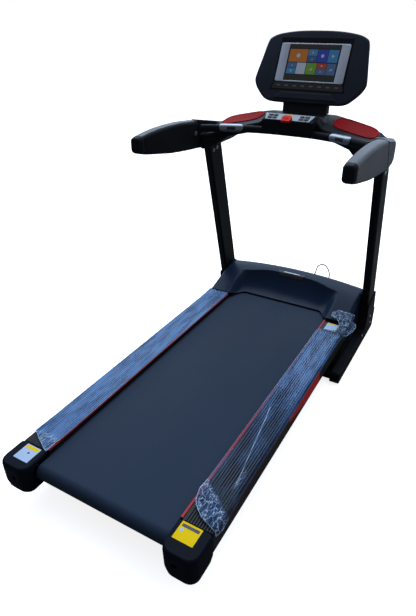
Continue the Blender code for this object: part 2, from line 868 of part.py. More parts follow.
def make_end_cap(side):
    """A rounded plastic end cap that tapers down to its foot and clears the rear roller."""

    def ring(x0, x1, y0, y1, z, rear, front):
        x0, x1 = sided(side, x0, x1)
        outline = (
            arc((x1 - rear, y0 + rear), rear, -90, 0, 5)
            + arc((x1 - front, y1 - front), front, 0, 90, 3)
            + arc((x0 + front, y1 - front), front, 90, 180, 3)
            + arc((x0 + rear, y0 + rear), rear, 180, 270, 5)
        )
        return [(x, y, z) for x, y in outline]

    cap = lofted(
        f"{side_name(side)}_end_cap",
        [
            ring(0.312, 0.366, -0.900, -0.850, 0.060, 0.020, 0.010),
            ring(0.292, 0.386, -0.920, -0.833, 0.066, 0.028, 0.012),
            ring(0.282, 0.395, -0.932, -0.824, 0.082, 0.034, 0.012),
            ring(0.2765, 0.400, -0.938, CAP_FRONT, 0.112, 0.036, 0.012),
            ring(0.275, 0.400, REAR_Y, CAP_FRONT, 0.180, 0.036, 0.012),
            ring(0.2765, 0.3985, REAR_Y + 0.002, CAP_FRONT - 0.001, 0.192, 0.035, 0.012),
            ring(0.281, 0.394, REAR_Y + 0.007, CAP_FRONT - 0.005, 0.198, 0.032, 0.010),
        ],
        "black_plastic",
    )
    x0, x1 = sided(side, 0.2860, 0.3900)
    hollow = box("cap_hollow", (x0, -0.8900, 0.0850), (x1, -0.8000, 0.1880))
    x0, x1 = sided(side, 0.2600, 0.2900)
    clearance = cylinder(
        "roller_clearance",
        (x0, REAR_ROLLER_Y, ROLLER_Z),
        (x1, REAR_ROLLER_Y, ROLLER_Z),
        0.0380,
        sides=36,
    )
    roller_mouth = box("roller_mouth", (x0, REAR_ROLLER_Y, 0.108), (x1, -0.80, 0.184))
    x0, x1 = sided(side, 0.2600, 0.2990)
    board_space = box("board_space", (x0, -0.830, 0.140), (x1, -0.80, 0.188))
    screw_hole = cylinder(
        "tension_screw_hole",
        (side * 0.330, -0.960, ROLLER_Z),
        (side * 0.330, -0.880, ROLLER_Z),
        0.0090,
    )
    return cut(cap, hollow, clearance, roller_mouth, board_space, screw_hole)


def make_rear_foot(side):
    """A round foot on a stem under the deck's side tube."""
    x, y = side * REAR_FOOT_AT[0], REAR_FOOT_AT[1]
    name = f"{side_name(side)}_rear_foot"
    foot = bevelled(cylinder(name, (x, y, 0.0), (x, y, 0.014), 0.022, "rubber", sides=28), 0.003, 1)
    stem = cylinder("foot_stem", (x, y, 0.010), (x, y, SIDE_TUBE_Z[0] - GAP), 0.011)
    return unite(foot, stem)


# ---------------------------------------------------------------- hood
HOOD_OPENING_REAR = 0.635  # rear edge of the hood over the middle of the belt
HOOD_TOP_END = 0.820  # where the top starts to fall to the front
HOOD_CORNER = 0.022
HOOD_TOP_SHARE = 11 / 14  # of the skin's width that is its top


def smoothstep(low, high, value):
    t = min(1.0, max(0.0, (value - low) / (high - low)))
    return t * t * (3 - 2 * t)


def hood_rear(x):
    """How far back the hood reaches at x: a U with rounded corners, and an arm each side."""
    return HOOD_OPENING_REAR - (HOOD_OPENING_REAR - HOOD_REAR_ARM) * smoothstep(
        0.205, 0.285, abs(x)
    ) ** 1.4


def hood_ridge(x):
    """Where the scoop over the belt ends in the hood's top."""
    return 0.765 - 0.035 * smoothstep(0.10, 0.29, abs(x))


def hood_top(x, y):
    """Height of the hood over the belt and the arms."""
    crown = 0.293 - 0.19 * x * x
    arm = 0.199 + (crown - 0.199) * smoothstep(HOOD_REAR_ARM - 0.06, 0.800, y)
    rear, ridge = hood_rear(x), hood_ridge(x)
    along = min(1.0, max(0.0, (y - rear) / (ridge - rear)))
    ridge_height = arm - 0.004
    scoop = 0.1865 + (ridge_height - 0.1865) * (0.35 * along + 0.65 * along**2)
    scoop = min(scoop, arm) if y < ridge else arm
    blend = smoothstep(0.245, 0.292, abs(x))
    return scoop + (arm - scoop) * blend


def hood_point(u, v):
    """The hood's outer skin. u runs across (-1 to 1), v from the rear edge (0) to the front."""
    across, side = abs(u), 1 if u >= 0 else -1
    x_top = (HOOD_HALF - HOOD_CORNER) * min(1.0, across / HOOD_TOP_SHARE)
    rear = hood_rear(x_top)
    if v <= 0.72:
        y = rear + (HOOD_TOP_END - rear) * (v / 0.72)
        z = hood_top(x_top, y)
    else:
        turn = (v - 0.72) / 0.28 * math.pi / 2
        y = HOOD_TOP_END + (FRONT_Y - HOOD_TOP_END) * math.sin(turn)
        z = HOOD_BOTTOM + (hood_top(x_top, HOOD_TOP_END) - HOOD_BOTTOM) * max(0.0, math.cos(turn))
    if across <= HOOD_TOP_SHARE:
        return (side * x_top, y, z)
    # A rounded corner, and the flat end below it.
    drop = (across - HOOD_TOP_SHARE) / (1 - HOOD_TOP_SHARE)
    turn = min(1.0, 1.5 * drop) * math.pi / 2
    corner = min(HOOD_CORNER, z - HOOD_BOTTOM)
    z -= corner * (1 - math.cos(turn))
    z -= (z - HOOD_BOTTOM) * max(0.0, 3 * drop - 2)
    return (side * (x_top + HOOD_CORNER * math.sin(turn)), y, z)


def make_motor_hood(columns=28, rows=16):
    work = bmesh.new()
    grid = [
        [work.verts.new(hood_point(-1 + 2 * i / columns, j / rows)) for j in range(rows + 1)]
        for i in range(columns + 1)
    ]
    for i in range(columns):
        for j in range(rows):
            work.faces.new((grid[i][j], grid[i + 1][j], grid[i + 1][j + 1], grid[i][j + 1]))
    bmesh.ops.remove_doubles(work, verts=work.verts, dist=1e-5)
    data = bpy.data.meshes.new("motor_hood")
    work.to_mesh(data)
    work.free()
    hood = bpy.data.objects.new("motor_hood", data)
    TREADMILL.objects.link(hood)
    keep(hood, "motor_hood", "hood_plastic")
    thickness = hood.modifiers.new("wall", "SOLIDIFY")
    thickness.thickness = 0.0030
    thickness.offset = -1.0
    thickness.use_even_offset = False
    return smooth(hood, 60)


# ---------------------------------------------------------------- console
LOWER_EDGE = ((0, 1.078), (0.12, 1.076), (0.19, 1.066), (0.24, 1.055), (0.29, 1.044),
              (0.325, 1.016), (0.36, 0.994), (0.395, 0.984), (0.465, 0.982))
FAR_EDGE = ((0, 0.800), (0.12, 0.792), (0.20, 0.757), (0.30, 0.737), (0.36, 0.720), (0.4079, 0.706),
            (0.438, 0.690), (0.455, 0.650), (0.465, 0.610))
SHELL_STATIONS = (0.0, 0.06, 0.118, 0.150, 0.190, 0.240, 0.290, 0.325, 0.355, 0.380, 0.395,
                  0.4075, 0.4079, 0.438, 0.455, 0.465)
HOUSING_X = 0.4077  # the housings outboard of this carry on from the armrests


def tray_height(x, y):
    """The trays' sloping plane, level where it would stand above the middle."""
    return min(1.144, 1.1125 - 0.18 * (abs(x) - 0.20) + 0.20 * (y - 0.600))


def shell_top(x, y):
    """The trays, and outboard of them the housings that carry on from the armrests."""
    housing = 1.118 - 0.177 * (y - 0.470)
    share = smoothstep(0.380, 0.4075, abs(x)) * smoothstep(0.53, 0.60, y)
    if abs(x) > HOUSING_X:
        share = 1.0
    return tray_height(x, y) + (housing - tray_height(x, y)) * share


def armrest_joint(z):
    """The slanting joint between armrest and housing."""
    return 0.4700 + 0.45 * (1.050 - z)


def console_near(x, z):
    """The console body's edge towards the runner."""
    if abs(x) > HOUSING_X:
        return armrest_joint(z) + 0.0010
    return interpolate(GRAB_ROUTE, x) + 0.021


def split_height(x):
    return interpolate(LOWER_EDGE, x) + 0.024


def end_inset(x):
    """Rounds the shells' outer ends."""
    return 0.010 * smoothstep(0.435, 0.465, abs(x))


def lower_section(x):
    far, low, split, inset = interpolate(FAR_EDGE, x), interpolate(LOWER_EDGE, x), split_height(x), end_inset(x)
    near = [(0.0, split - GAP), (0.002, low + 0.008 + inset), (0.012, low + inset)]
    return [(x, console_near(x, z) + step + inset, z) for step, z in near] + [
        (x, far - 0.030 - inset, low + 0.004 + inset),
        (x, far - 0.006 - inset, low + 0.014 + inset),
        (x, far - inset, split - GAP),
    ]


def upper_section(x):
    far, split, inset = interpolate(FAR_EDGE, x), split_height(x), end_inset(x)
    near = console_near(x, 1.115)
    if abs(x) <= 0.118:
        tops = [(near + 0.006, 1.1400), (0.620, 1.1430), (0.730, 1.1430)]
    else:
        steps = (near + 0.006 + inset, near + 0.060 - inset, far - 0.030)
        tops = [(y, shell_top(x, y) - inset) for y in steps]
    roll, brow = tops[2][1], tops[0][1] - 0.008
    return [
        (x, far - inset, split),
        (x, far - inset, roll - 0.030),
        (x, far - 0.006 - inset, roll - 0.012),
        (x, far - 0.018 - inset, roll - 0.002),
        (x, *tops[2]),
        (x, *tops[1]),
        (x, *tops[0]),
        (x, console_near(x, brow) + inset, brow),
        (x, console_near(x, split) + inset, split),
    ]


def shell_rings(section):
    stations = [-x for x in reversed(SHELL_STATIONS[1:])] + list(SHELL_STATIONS)
    return [section(x) for x in stations]


def grab_points(extra=0.0):
    """The whole bar, left to right, as a smooth route."""
    right = [(x, y, GRAB_Z) for x, y in GRAB_ROUTE]
    if extra:
        last, before = Vector(right[-1]), Vector(right[-2])
        right[-1] = tuple(last + (last - before).normalized() * extra)
    left = [(-x, y, z) for x, y, z in reversed(right[1:])]
    return smooth_route(left + right, 33)


def bar_cutter():
    return swept("bar_clearance", grab_points(extra=0.003), GRAB_RADIUS + 0.0006)


def make_console_lower_shell():
    shell = lofted("console_lower_shell", shell_rings(lower_section), "black_plastic")
    return cut(shell, upright_cutter(1), upright_cutter(-1), bar_cutter())


def make_console_upper_shell():
    shell = lofted("console_upper_shell", shell_rings(upper_section), "black_plastic")
    near = PANEL_ORIGIN.y
    outline = [
        (0.600, split_height(0)),
        (0.552, split_height(0)),
        (0.546, 1.084),
        (near + 0.008, 1.084),
        (near + 0.002, 1.090),
        (near, 1.134),
        (near + 0.0015, PANEL_ORIGIN.z + 0.0007),
        (near + PANEL_LENGTH * math.cos(PANEL_SLOPE), 1.136 + PANEL_LENGTH * math.sin(PANEL_SLOPE)),
        (0.600, 1.1560),
        (0.650, 1.1440),
        (0.650, split_height(0)),
    ]
    pod = extruded("pod", [outline], -0.119, 0.119)
    unite(shell, bevelled(pod, 0.003, 2))
    return cut(shell, upright_cutter(1), upright_cutter(-1), bar_cutter())


def make_grab_bar():
    return swept("grab_bar", grab_points(), GRAB_RADIUS, "black_steel")


def make_pulse_sensor(side):
    """A chrome saddle on the grab bar."""
    inner_end, outer_end = Vector((0.215, 0.5225, GRAB_Z)), Vector((0.305, 0.4870, GRAB_Z))
    inner_end.x *= side
    outer_end.x *= side
    along = (outer_end - inner_end).normalized()
    up = Vector((0, 0, 1))
    across = up.cross(along) * side
    inner_radius, outer_radius = GRAB_RADIUS + 0.0022, GRAB_RADIUS + 0.0044
    band = arc((0, 0), outer_radius, -10, 125, 10) + arc((0, 0), inner_radius, 125, -10, 10)

    def ring(where, shrink):
        middle = 57.5  # degrees round the bar, halfway along the band
        points = []
        for i, (a, b) in enumerate(band):
            angle = math.degrees(math.atan2(b, a))
            radius = math.hypot(a, b)
            angle = middle + (angle - middle) * shrink
            a, b = (radius * math.cos(math.radians(angle)), radius * math.sin(math.radians(angle)))
            points.append(where - across * a + up * b)
        return points

    span = outer_end - inner_end
    rings = [
        ring(inner_end + span * share, shrink)
        for share, shrink in ((0, 0.45), (0.05, 0.75), (0.15, 1.0), (0.85, 1.0), (0.95, 0.75), (1, 0.45))
    ]
    return lofted(f"{side_name(side)}_pulse_sensor", rings, "chrome")


def make_tray_mat(side):
    corners = ((0.172, 0.604), (0.176, 0.729), (0.377, 0.707), (0.374, 0.588))
    ring = []
    for i, corner in enumerate(corners):
        before, after = Vector(corners[i - 1]), Vector(corners[(i + 1) % 4])
        here = Vector(corner)
        # The ends are nearly half rounds, so the corners take more of the short sides.
        start, end = here.lerp(before, 0.44 if i % 2 else 0.30), here.lerp(after, 0.30 if i % 2 else 0.44)
        for step in range(6):
            t = step / 5
            ring.append((1 - t) ** 2 * start + 2 * t * (1 - t) * here + t**2 * end)
    low = [(side * x, y, tray_height(x, y) + GAP) for x, y in ring]
    high = [(side * x, y, tray_height(x, y) + 0.0035) for x, y in ring]
    return bevelled(lofted(f"{side_name(side)}_tray_mat", [low, high], "red_mat"), 0.001, 1)


def panel_matrix():
    return Matrix.Translation(PANEL_ORIGIN) @ Matrix.Rotation(PANEL_SLOPE, 4, "X")


def panel_box(name, low, high, finish=None, edge=0.0):
    """A box given across, up and off the sloping keypad."""
    made = box(name, low, high, finish, edge)
    middle = made.location.copy()
    made.location = panel_matrix() @ middle
    made.rotation_euler = (PANEL_SLOPE, 0.0, 0.0)
    return made


KEY_SIZE = (0.0160, 0.0095)
KEY_COLUMNS = (-0.086, -0.062, 0.062, 0.086)
KEY_ROWS = (0.014, 0.033)


def key_centres():
    return [(x, y) for x in KEY_COLUMNS for y in KEY_ROWS]


def make_keypad_panel():
    outline = [(-0.103, 0.002), (0.103, 0.002), (0.1155, 0.0470), (-0.1155, 0.0470)]
    panel = extruded(
        "keypad_panel", [outline], 0.0008, 0.0045, "panel_grey", panel_matrix()
    )
    holes = [
        panel_box(
            "key_hole",
            (x - KEY_SIZE[0] / 2 - 0.0006, y - KEY_SIZE[1] / 2 - 0.0006, -0.002),
            (x + KEY_SIZE[0] / 2 + 0.0006, y + KEY_SIZE[1] / 2 + 0.0006, 0.010),
        )
        for x, y in key_centres()
    ]
    return cut(panel, *holes)


KEY_NAMES = (
    "key_incline_up", "key_incline_down", "key_mode", "key_start",
    "key_stop", "key_program", "key_speed_up", "key_speed_down",
)


def make_keys():
    return [
        panel_box(
            name,
            (x - KEY_SIZE[0] / 2, y - KEY_SIZE[1] / 2, 0.0026),
            (x + KEY_SIZE[0] / 2, y + KEY_SIZE[1] / 2, 0.0064),
            "black_plastic",
            edge=0.0007,
        )
        for name, (x, y) in zip(KEY_NAMES, key_centres())
    ]


def make_safety_key():
    outline = [(-0.016, -0.004), (0.016, -0.004), (0.022, 0.006), (0.022, 0.018), (0.014, 0.029),
               (-0.014, 0.029), (-0.022, 0.018), (-0.022, 0.006)]
    key = extruded("safety_key", [outline], 0.0048, 0.0160, "key_red", panel_matrix())
    return bevelled(key, 0.002, 2)


ARMREST_STATIONS = (
    # Y, lowest Z, highest Z, inner |X|, outer |X|
    (0.0000, 1.0580, 1.1040, 0.4200, 0.4540),
    (0.0050, 1.0500, 1.1110, 0.4140, 0.4585),
    (0.0200, 1.0450, 1.1150, 0.4120, 0.4605),
    (0.0600, 1.0360, 1.1200, 0.4110, 0.4620),
    (0.1000, 1.0290, 1.1240, 0.4105, 0.4630),
    (0.1560, 1.0200, 1.1275, 0.4100, 0.4640),
    (0.2300, 1.0080, 1.1290, 0.4095, 0.4650),
    (0.3200, 0.9980, 1.1275, 0.4085, 0.4650),
    (0.4000, 0.9900, 1.1230, 0.4085, 0.4650),
    (0.4700, 0.9840, 1.1180, 0.4085, 0.4650),
)


def make_armrest(side):
    rings = []
    for y, low, high, inner, outer in ARMREST_STATIONS:
        x0, x1 = sided(side, inner, outer)
        radius = 0.017 if y > 0.01 else 0.012
        outline = rounded_rectangle((x0, low), (x1, high), radius, 4)
        last = y == ARMREST_STATIONS[-1][0]
        rings.append([(x, armrest_joint(z) if last else y, z) for x, z in outline])
    return lofted(f"{side_name(side)}_armrest", rings, "armrest_foam")


# ---------------------------------------------------------------- display head
def head_matrix():
    """Across, up the face, and out of the face towards the runner."""
    return Matrix.Translation(HEAD_ORIGIN) @ Matrix.Rotation(math.pi / 2 - HEAD_TILT, 4, "X")


HEAD_HALF_OUTLINE = (
    (0.000, 0.1470), (0.100, 0.1440), (0.182, 0.1320), (0.222, 0.1160), (0.238, 0.0950),
    (0.254, 0.0100), (0.267, -0.0650), (0.266, -0.0880), (0.250, -0.1180), (0.215, -0.1550),
    (0.190, -0.1700), (0.150, -0.1765), (0.000, -0.1790),
)


def head_outline(inset=0.0):
    """The head's outline, symmetric about its middle, optionally drawn in by a margin."""
    half = [
        (x * (1 - inset / 0.267), y * (1 - inset / 0.160)) for x, y in HEAD_HALF_OUTLINE
    ]
    return half + [(-x, y) for x, y in reversed(half[1:-1])]


def head_ring(inset, depth):
    place = head_matrix()
    return [place @ Vector((x, y, depth)) for x, y in head_outline(inset)]


def make_display_rear_shell():
    return lofted(
        "display_rear_shell",
        [
            head_ring(0.050, -0.0500),
            head_ring(0.032, -0.0460),
            head_ring(0.014, -0.0300),
            head_ring(0.004, -0.0120),
            head_ring(0.000, -0.0003),
        ],
        "black_plastic",
    )


SCREEN_HALF = (0.163, 0.0865)


def make_display_front_shell():
    shell = lofted(
        "display_front_shell",
        [
            head_ring(0.000, 0.0),
            head_ring(0.000, 0.0080),
            head_ring(0.004, 0.0120),
            head_ring(0.009, 0.0135),
        ],
        "black_plastic",
    )
    pocket = box(
        "screen_pocket",
        (-SCREEN_HALF[0] - GAP, -SCREEN_HALF[1] - GAP, 0.0045),
        (SCREEN_HALF[0] + GAP, SCREEN_HALF[1] + GAP, 0.0300),
    )
    pocket.matrix_world = head_matrix() @ Matrix.Translation((0, 0, 0.01725))
    return cut(shell, pocket)


def make_display_screen():
    place = head_matrix()
    outline = rounded_rectangle(
        (-SCREEN_HALF[0], -SCREEN_HALF[1]), SCREEN_HALF, 0.006, 3
    )
    rings = [
        [place @ Vector((x, y, depth)) for x, y in outline] for depth in (0.0048, 0.0150)
    ]
    return bevelled(lofted("display_screen", rings, "screen_frame"), 0.0015, 2)


def make_display_neck():
    """The head's stem, shaped to the underside of its rear shell."""
    outline = [
        (0.7380, 1.1433),
        (0.7800, 1.1433),
        (0.7790, 1.1930),
        (0.7575, 1.1833),
        (0.7400, 1.1808),
    ]
    return extruded("display_neck", [outline], -0.107, 0.107, "black_plastic")


# ---------------------------------------------------------------- mains inlet and lead
def make_power_inlet_box():
    low, high = (-0.110, 0.8785, 0.0080), (-0.010, 0.9300, 0.0400)
    shell = box("power_inlet_box", low, high, "black_plastic", edge=0.002)
    window = box("switch_window", (-0.0275, 0.9155, 0.0120), (-0.0145, 0.9400, 0.0320))
    return cut(shell, window)


def make_power_switch():
    outline = [(0.9200, 0.0130), (0.9290, 0.0140), (0.9325, 0.0180), (0.9310, 0.0250),
               (0.9290, 0.0305), (0.9200, 0.0310)]
    return extruded("power_switch", [outline], -0.0270, -0.0150, "key_red")


def make_cord_gland():
    x, y, z = GLAND_AT
    collar = cylinder("cord_gland", (x, y, z), (x, y + 0.006, z), 0.0100, "rubber")
    boot = cylinder(
        "gland_boot", (x, y + 0.004, z), (x, y + GLAND_LENGTH, z), 0.0080, tip=0.0052
    )
    return unite(collar, boot)


def make_power_cord():
    return swept("power_cord", smooth_route(CORD_ROUTE, CORD_POINTS), CORD_RADIUS, "rubber", 2)


def make_power_plug():
    end = Vector(CORD_ROUTE[-1])
    direction = (end - Vector(CORD_ROUTE[-2])).normalized()
    direction.z = 0.0
    direction.normalize()
    start = end + direction * GAP
    along = [start + direction * step for step in (0.0, 0.010, 0.016, PLUG_LENGTH)]
    across = Vector((direction.y, -direction.x, 0.0))
    sizes = (0.0050, 0.0070, 0.0148, 0.0148)
    rings = [
        [
            where + across * a + Vector((0, 0, b))
            for a, b in rounded_rectangle((-size, -size), (size, size), size * 0.45, 3)
        ]
        for where, size in zip(along, sizes)
    ]
    plug = lofted("power_plug", rings, "rubber")
    pins = [
        cylinder(
            "plug_pin",
            along[-1] + across * shift - direction * 0.004,
            along[-1] + across * shift + direction * 0.019,
            0.0024,
            sides=12,
        )
        for shift in (-0.0095, 0.0095)
    ]
    return unite(plug, *pins)


# ---------------------------------------------------------------- assembly
def pivot(name, at, parent, pieces):
    """An empty on a joint's axis, with the pieces that turn or slide about it."""
    empty = bpy.data.objects.new(f"{name}_axis", None)
    TREADMILL.objects.link(empty)
    empty.location = at
    home = Matrix.Translation(at)
    if parent:
        empty.parent = parent
        empty.matrix_parent_inverse = Matrix.Translation(parent["home"]).inverted()
    empty["home"] = tuple(at)
    for piece in pieces:
        for operand in [m.object for m in piece.modifiers if m.type == "BOOLEAN"]:
            operand.parent = empty
            operand.matrix_parent_inverse = home.inverted()
        piece.parent = empty
        piece.matrix_parent_inverse = home.inverted()
    return empty


def build():
    sides = (1, -1)
    make_base_frame()
    wheels = [make_transport_wheel(side) for side in sides]
    for side in sides:
        make_base_cover(side)
        make_upright(side)
    make_console_lower_shell()
    make_console_upper_shell()
    make_grab_bar()
    for side in sides:
        make_armrest(side)
        make_tray_mat(side)
        make_pulse_sensor(side)
    make_keypad_panel()
    keys = make_keys()
    safety_key = make_safety_key()
    make_display_neck()
    make_display_rear_shell()
    make_display_front_shell()
    make_display_screen()
    make_power_inlet_box()
    switch = make_power_switch()
    make_cord_gland()
    make_power_cord()
    make_power_plug()

    hinge = (0.0, *FOLD_HINGE)
    lift = pivot("incline_lift", (0.0, *LIFT_PIVOT), None, [make_lift_frame()])
    carrier = pivot("fold_carrier", hinge, lift, [make_fold_carrier()])
    motor = pivot("lift_motor", (LIFT_X, *LIFT_MOTOR_PIN), None, [make_lift_motor()])
    pivot("lift_screw", along_lift(0.155), motor, [make_lift_screw()])
    cylinder_axis = pivot("strut_cylinder", (STRUT_X, *STRUT_LOW), carrier, [make_strut_cylinder()])
    pivot("strut_rod", along_strut(0.255), cylinder_axis, [make_strut_rod()])
    deck_pieces = [
        make_deck_frame(),
        make_running_deck(),
        make_running_belt(),
        make_drive_belt(),
        make_drive_motor(),
        make_motor_controller(),
        make_motor_pan(),
        make_motor_hood(),
    ]
    for side in sides:
        deck_pieces += [
            make_foot_rail(side),
            make_rail_trim(side),
            make_end_cap(side),
            make_rear_foot(side),
        ]
    deck = pivot("deck_fold", hinge, carrier, deck_pieces)
    pivot(
        "rear_roller",
        (0.0, REAR_ROLLER_Y, ROLLER_Z),
        deck,
        [make_roller("rear_roller", REAR_ROLLER_Y)],
    )
    pivot("front_roller", (0.0, FRONT_ROLLER_Y, ROLLER_Z), deck, [make_front_roller()])
    pivot("motor_pulley", (0.0, *MOTOR_AT), deck, [make_motor_pulley()])
    for side, wheel in zip(sides, wheels):
        pivot(f"{side_name(side)}_wheel", (side * WHEEL_AT[0], *WHEEL_AT[1:]), None, [wheel])
    for key in keys:
        pivot(key.name, tuple(key.location), None, [key])
    pivot("safety_key", tuple(PANEL_ORIGIN), None, [safety_key])
    pivot("power_switch", (-0.021, 0.9235, 0.0220), None, [switch])


build()
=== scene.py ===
"""The looks of the folding treadmill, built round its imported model.

Metres, +Z up, +Y towards the motor end, +X the runner's right hand, as in the model.
"""

import math

import bmesh
import bpy
from mathutils import Matrix, Vector, noise


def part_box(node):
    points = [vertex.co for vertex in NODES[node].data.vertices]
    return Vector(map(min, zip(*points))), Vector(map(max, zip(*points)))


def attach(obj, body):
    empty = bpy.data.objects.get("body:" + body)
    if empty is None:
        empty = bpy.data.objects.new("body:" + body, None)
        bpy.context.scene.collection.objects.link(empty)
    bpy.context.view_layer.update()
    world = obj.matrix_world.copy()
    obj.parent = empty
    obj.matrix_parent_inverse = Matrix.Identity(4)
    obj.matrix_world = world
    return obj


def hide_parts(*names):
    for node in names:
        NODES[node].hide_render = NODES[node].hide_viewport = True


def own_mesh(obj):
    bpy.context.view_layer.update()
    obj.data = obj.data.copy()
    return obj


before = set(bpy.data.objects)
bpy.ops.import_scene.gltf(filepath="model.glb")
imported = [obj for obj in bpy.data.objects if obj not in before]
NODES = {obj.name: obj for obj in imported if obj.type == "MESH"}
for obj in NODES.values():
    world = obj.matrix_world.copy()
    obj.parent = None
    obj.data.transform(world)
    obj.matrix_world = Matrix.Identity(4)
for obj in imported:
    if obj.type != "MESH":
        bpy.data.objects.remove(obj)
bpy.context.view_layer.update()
SIDES = (("right", 1), ("left", -1))

def set_all(thing, **options):
    for key, value in options.items():
        setattr(thing, key, value)


# ---- shader nodes
def fill(node, inputs):
    """Fills a node's inputs: a socket is linked, anything else is set as the input's value."""
    for key, value in inputs.items():
        if isinstance(value, bpy.types.NodeSocket):
            node.id_data.links.new(value, node.inputs[key])
        else:
            node.inputs[key].default_value = value


def add_node(tree, kind, inputs, output, **options):
    """Adds a node, with its options set before its inputs, and gives one of its outputs."""
    node = tree.nodes.new(f"ShaderNode{kind}")
    set_all(node, **options)
    fill(node, inputs)
    return node.outputs[output]


def math_node(tree, operation, *values):
    """Arithmetic on sockets or numbers. A minimum is also clamped to 0 and 1."""
    clamp = operation == "MINIMUM"
    return add_node(tree, "Math", dict(enumerate(values)), "Value", operation=operation, use_clamp=clamp)


def mapped(tree, vector, **inputs):
    return add_node(tree, "Mapping", {"Vector": vector, **inputs}, "Vector")


def noise_node(tree, vector, scale, detail, distortion=0.0, output="Fac"):
    inputs = {"Vector": vector, "Scale": scale, "Detail": detail, "Distortion": distortion}
    return add_node(tree, "TexNoise", inputs, output)


def ranged(tree, value, low, high, to_low=0.0, to_high=1.0):
    inputs = {"Value": value, "From Min": low, "From Max": high, "To Min": to_low, "To Max": to_high}
    return add_node(tree, "MapRange", inputs, "Result")


def mixed(tree, share, first, second, kind="RGBA"):
    return add_node(tree, "Mix", {"Factor": share, "A": first, "B": second}, "Result", data_type=kind)


def colour_ramp(tree, value, first, last, *between):
    """A ramp through stops, each of them a position and a colour."""
    node = tree.nodes.new("ShaderNodeValToRGB")
    fill(node, {"Fac": value})
    stops = node.color_ramp.elements
    for index, (position, colour) in enumerate((first, last)):
        stops[index].position = position
        stops[index].color = (*colour, 1.0)
    for position, colour in between:
        stops.new(position).color = (*colour, 1.0)
    return node.outputs["Color"]


def new_material(name):
    made = bpy.data.materials.new(name)
    made.use_nodes = True
    return made, made.node_tree, made.node_tree.nodes["Principled BSDF"]


# ---- camera, stage and light
CAMERA_AT = (0.869, -1.677, 1.529)
CAMERA_TURN = (60.32, 0.0, 29.88)
CAMERA_LENS, CAMERA_SENSOR = 29.705, 36.0
WHITE = (1.0, 1.0, 1.0, 1.0)
# The sky brightens towards one side. Its stops are the dim end, the bright end and between.
SKY_TOWARD = (-0.433, 0.753, 0.495)
SKY_STOPS = ((0.0, (0.105, 0.1, 0.098)), (1.0, (0.68, 0.86, 1.06)), (0.45, (0.165, 0.215, 0.29)))
SKY_STRENGTH = 1.7
FLOOR_RADIUS, FLOOR_DROP, FLOOR_GLOW = 30.0, 0.0006, 0.8
FLOOR_GREY = (0.16, 0.155, 0.15, 1.0)
LIGHT_TARGET = (0.0, 0.0, 0.4)
SCENE = bpy.context.scene


def add_object(name, data, collection=SCENE.collection):
    made = bpy.data.objects.new(name, data)
    collection.objects.link(made)
    return made


def set_camera():
    data = bpy.data.cameras.new("camera")
    set_all(data, lens=CAMERA_LENS, sensor_width=CAMERA_SENSOR)
    camera = add_object("camera", data)
    camera.location = CAMERA_AT
    camera.rotation_euler = [math.radians(turn) for turn in CAMERA_TURN]
    SCENE.camera = camera


def area_light(name, at, size, power, colour):
    data = bpy.data.lights.new(name, "AREA")
    set_all(data, shape="RECTANGLE", size=size[0], size_y=size[1], energy=power, color=colour)
    light = add_object(name, data)
    light.location = at
    light.rotation_euler = (Vector(LIGHT_TARGET) - Vector(at)).to_track_quat("-Z", "Y").to_euler()


def set_sky():
    """White to the camera. The surfaces get a sky, bright ahead of the machine and dim behind."""
    world = bpy.data.worlds.new("studio")
    world.use_nodes = True
    tree = world.node_tree
    backdrop = tree.nodes["Background"]
    backdrop.inputs["Color"].default_value = WHITE
    place = add_node(tree, "TexCoord", {}, "Generated")
    toward = add_node(tree, "VectorMath", {0: place, 1: SKY_TOWARD}, "Value", operation="DOT_PRODUCT")
    dome = colour_ramp(tree, toward, *SKY_STOPS)
    sky = add_node(tree, "Background", {"Color": dome, "Strength": SKY_STRENGTH}, "Background")
    seen = add_node(tree, "LightPath", {}, "Is Camera Ray")
    both = {"Fac": seen, 1: sky, 2: backdrop.outputs["Background"]}
    shown = add_node(tree, "MixShader", both, "Shader")
    fill(tree.nodes["World Output"], {"Surface": shown})
    SCENE.world = world


def set_floor():
    """White to the camera, grey to everything else, so that it doesn't light the machine."""
    data = bpy.data.meshes.new("studio_floor")
    work = bmesh.new()
    bmesh.ops.create_circle(work, cap_ends=True, segments=96, radius=FLOOR_RADIUS)
    work.to_mesh(data)
    work.free()
    floor = add_object("studio_floor", data)
    floor.location.z = -FLOOR_DROP
    pale, tree, shader = new_material("studio_floor")
    seen = add_node(tree, "LightPath", {}, "Is Camera Ray")
    surface = {
        "Base Color": mixed(tree, seen, FLOOR_GREY, WHITE),
        "Roughness": 1.0,
        "Specular IOR Level": 0.0,
        "Emission Color": WHITE,
        "Emission Strength": math_node(tree, "MULTIPLY", seen, FLOOR_GLOW),
    }
    fill(shader, surface)
    data.materials.append(pale)


set_camera()
set_sky()
set_floor()
area_light("sky_panel", (-1.2, 2.4, 4.2), (5.0, 4.0), 150, (0.8, 0.9, 1.0))
area_light("side_panel", (3.6, 0.2, 2.6), (2.4, 1.6), 13, (1.0, 0.92, 0.84))
SCENE.view_settings.view_transform = "Standard"


# ---- finishes
CROSSED_TURNS, WAVES_PER_SCALE = (math.pi / 4, -math.pi / 4), 20.0


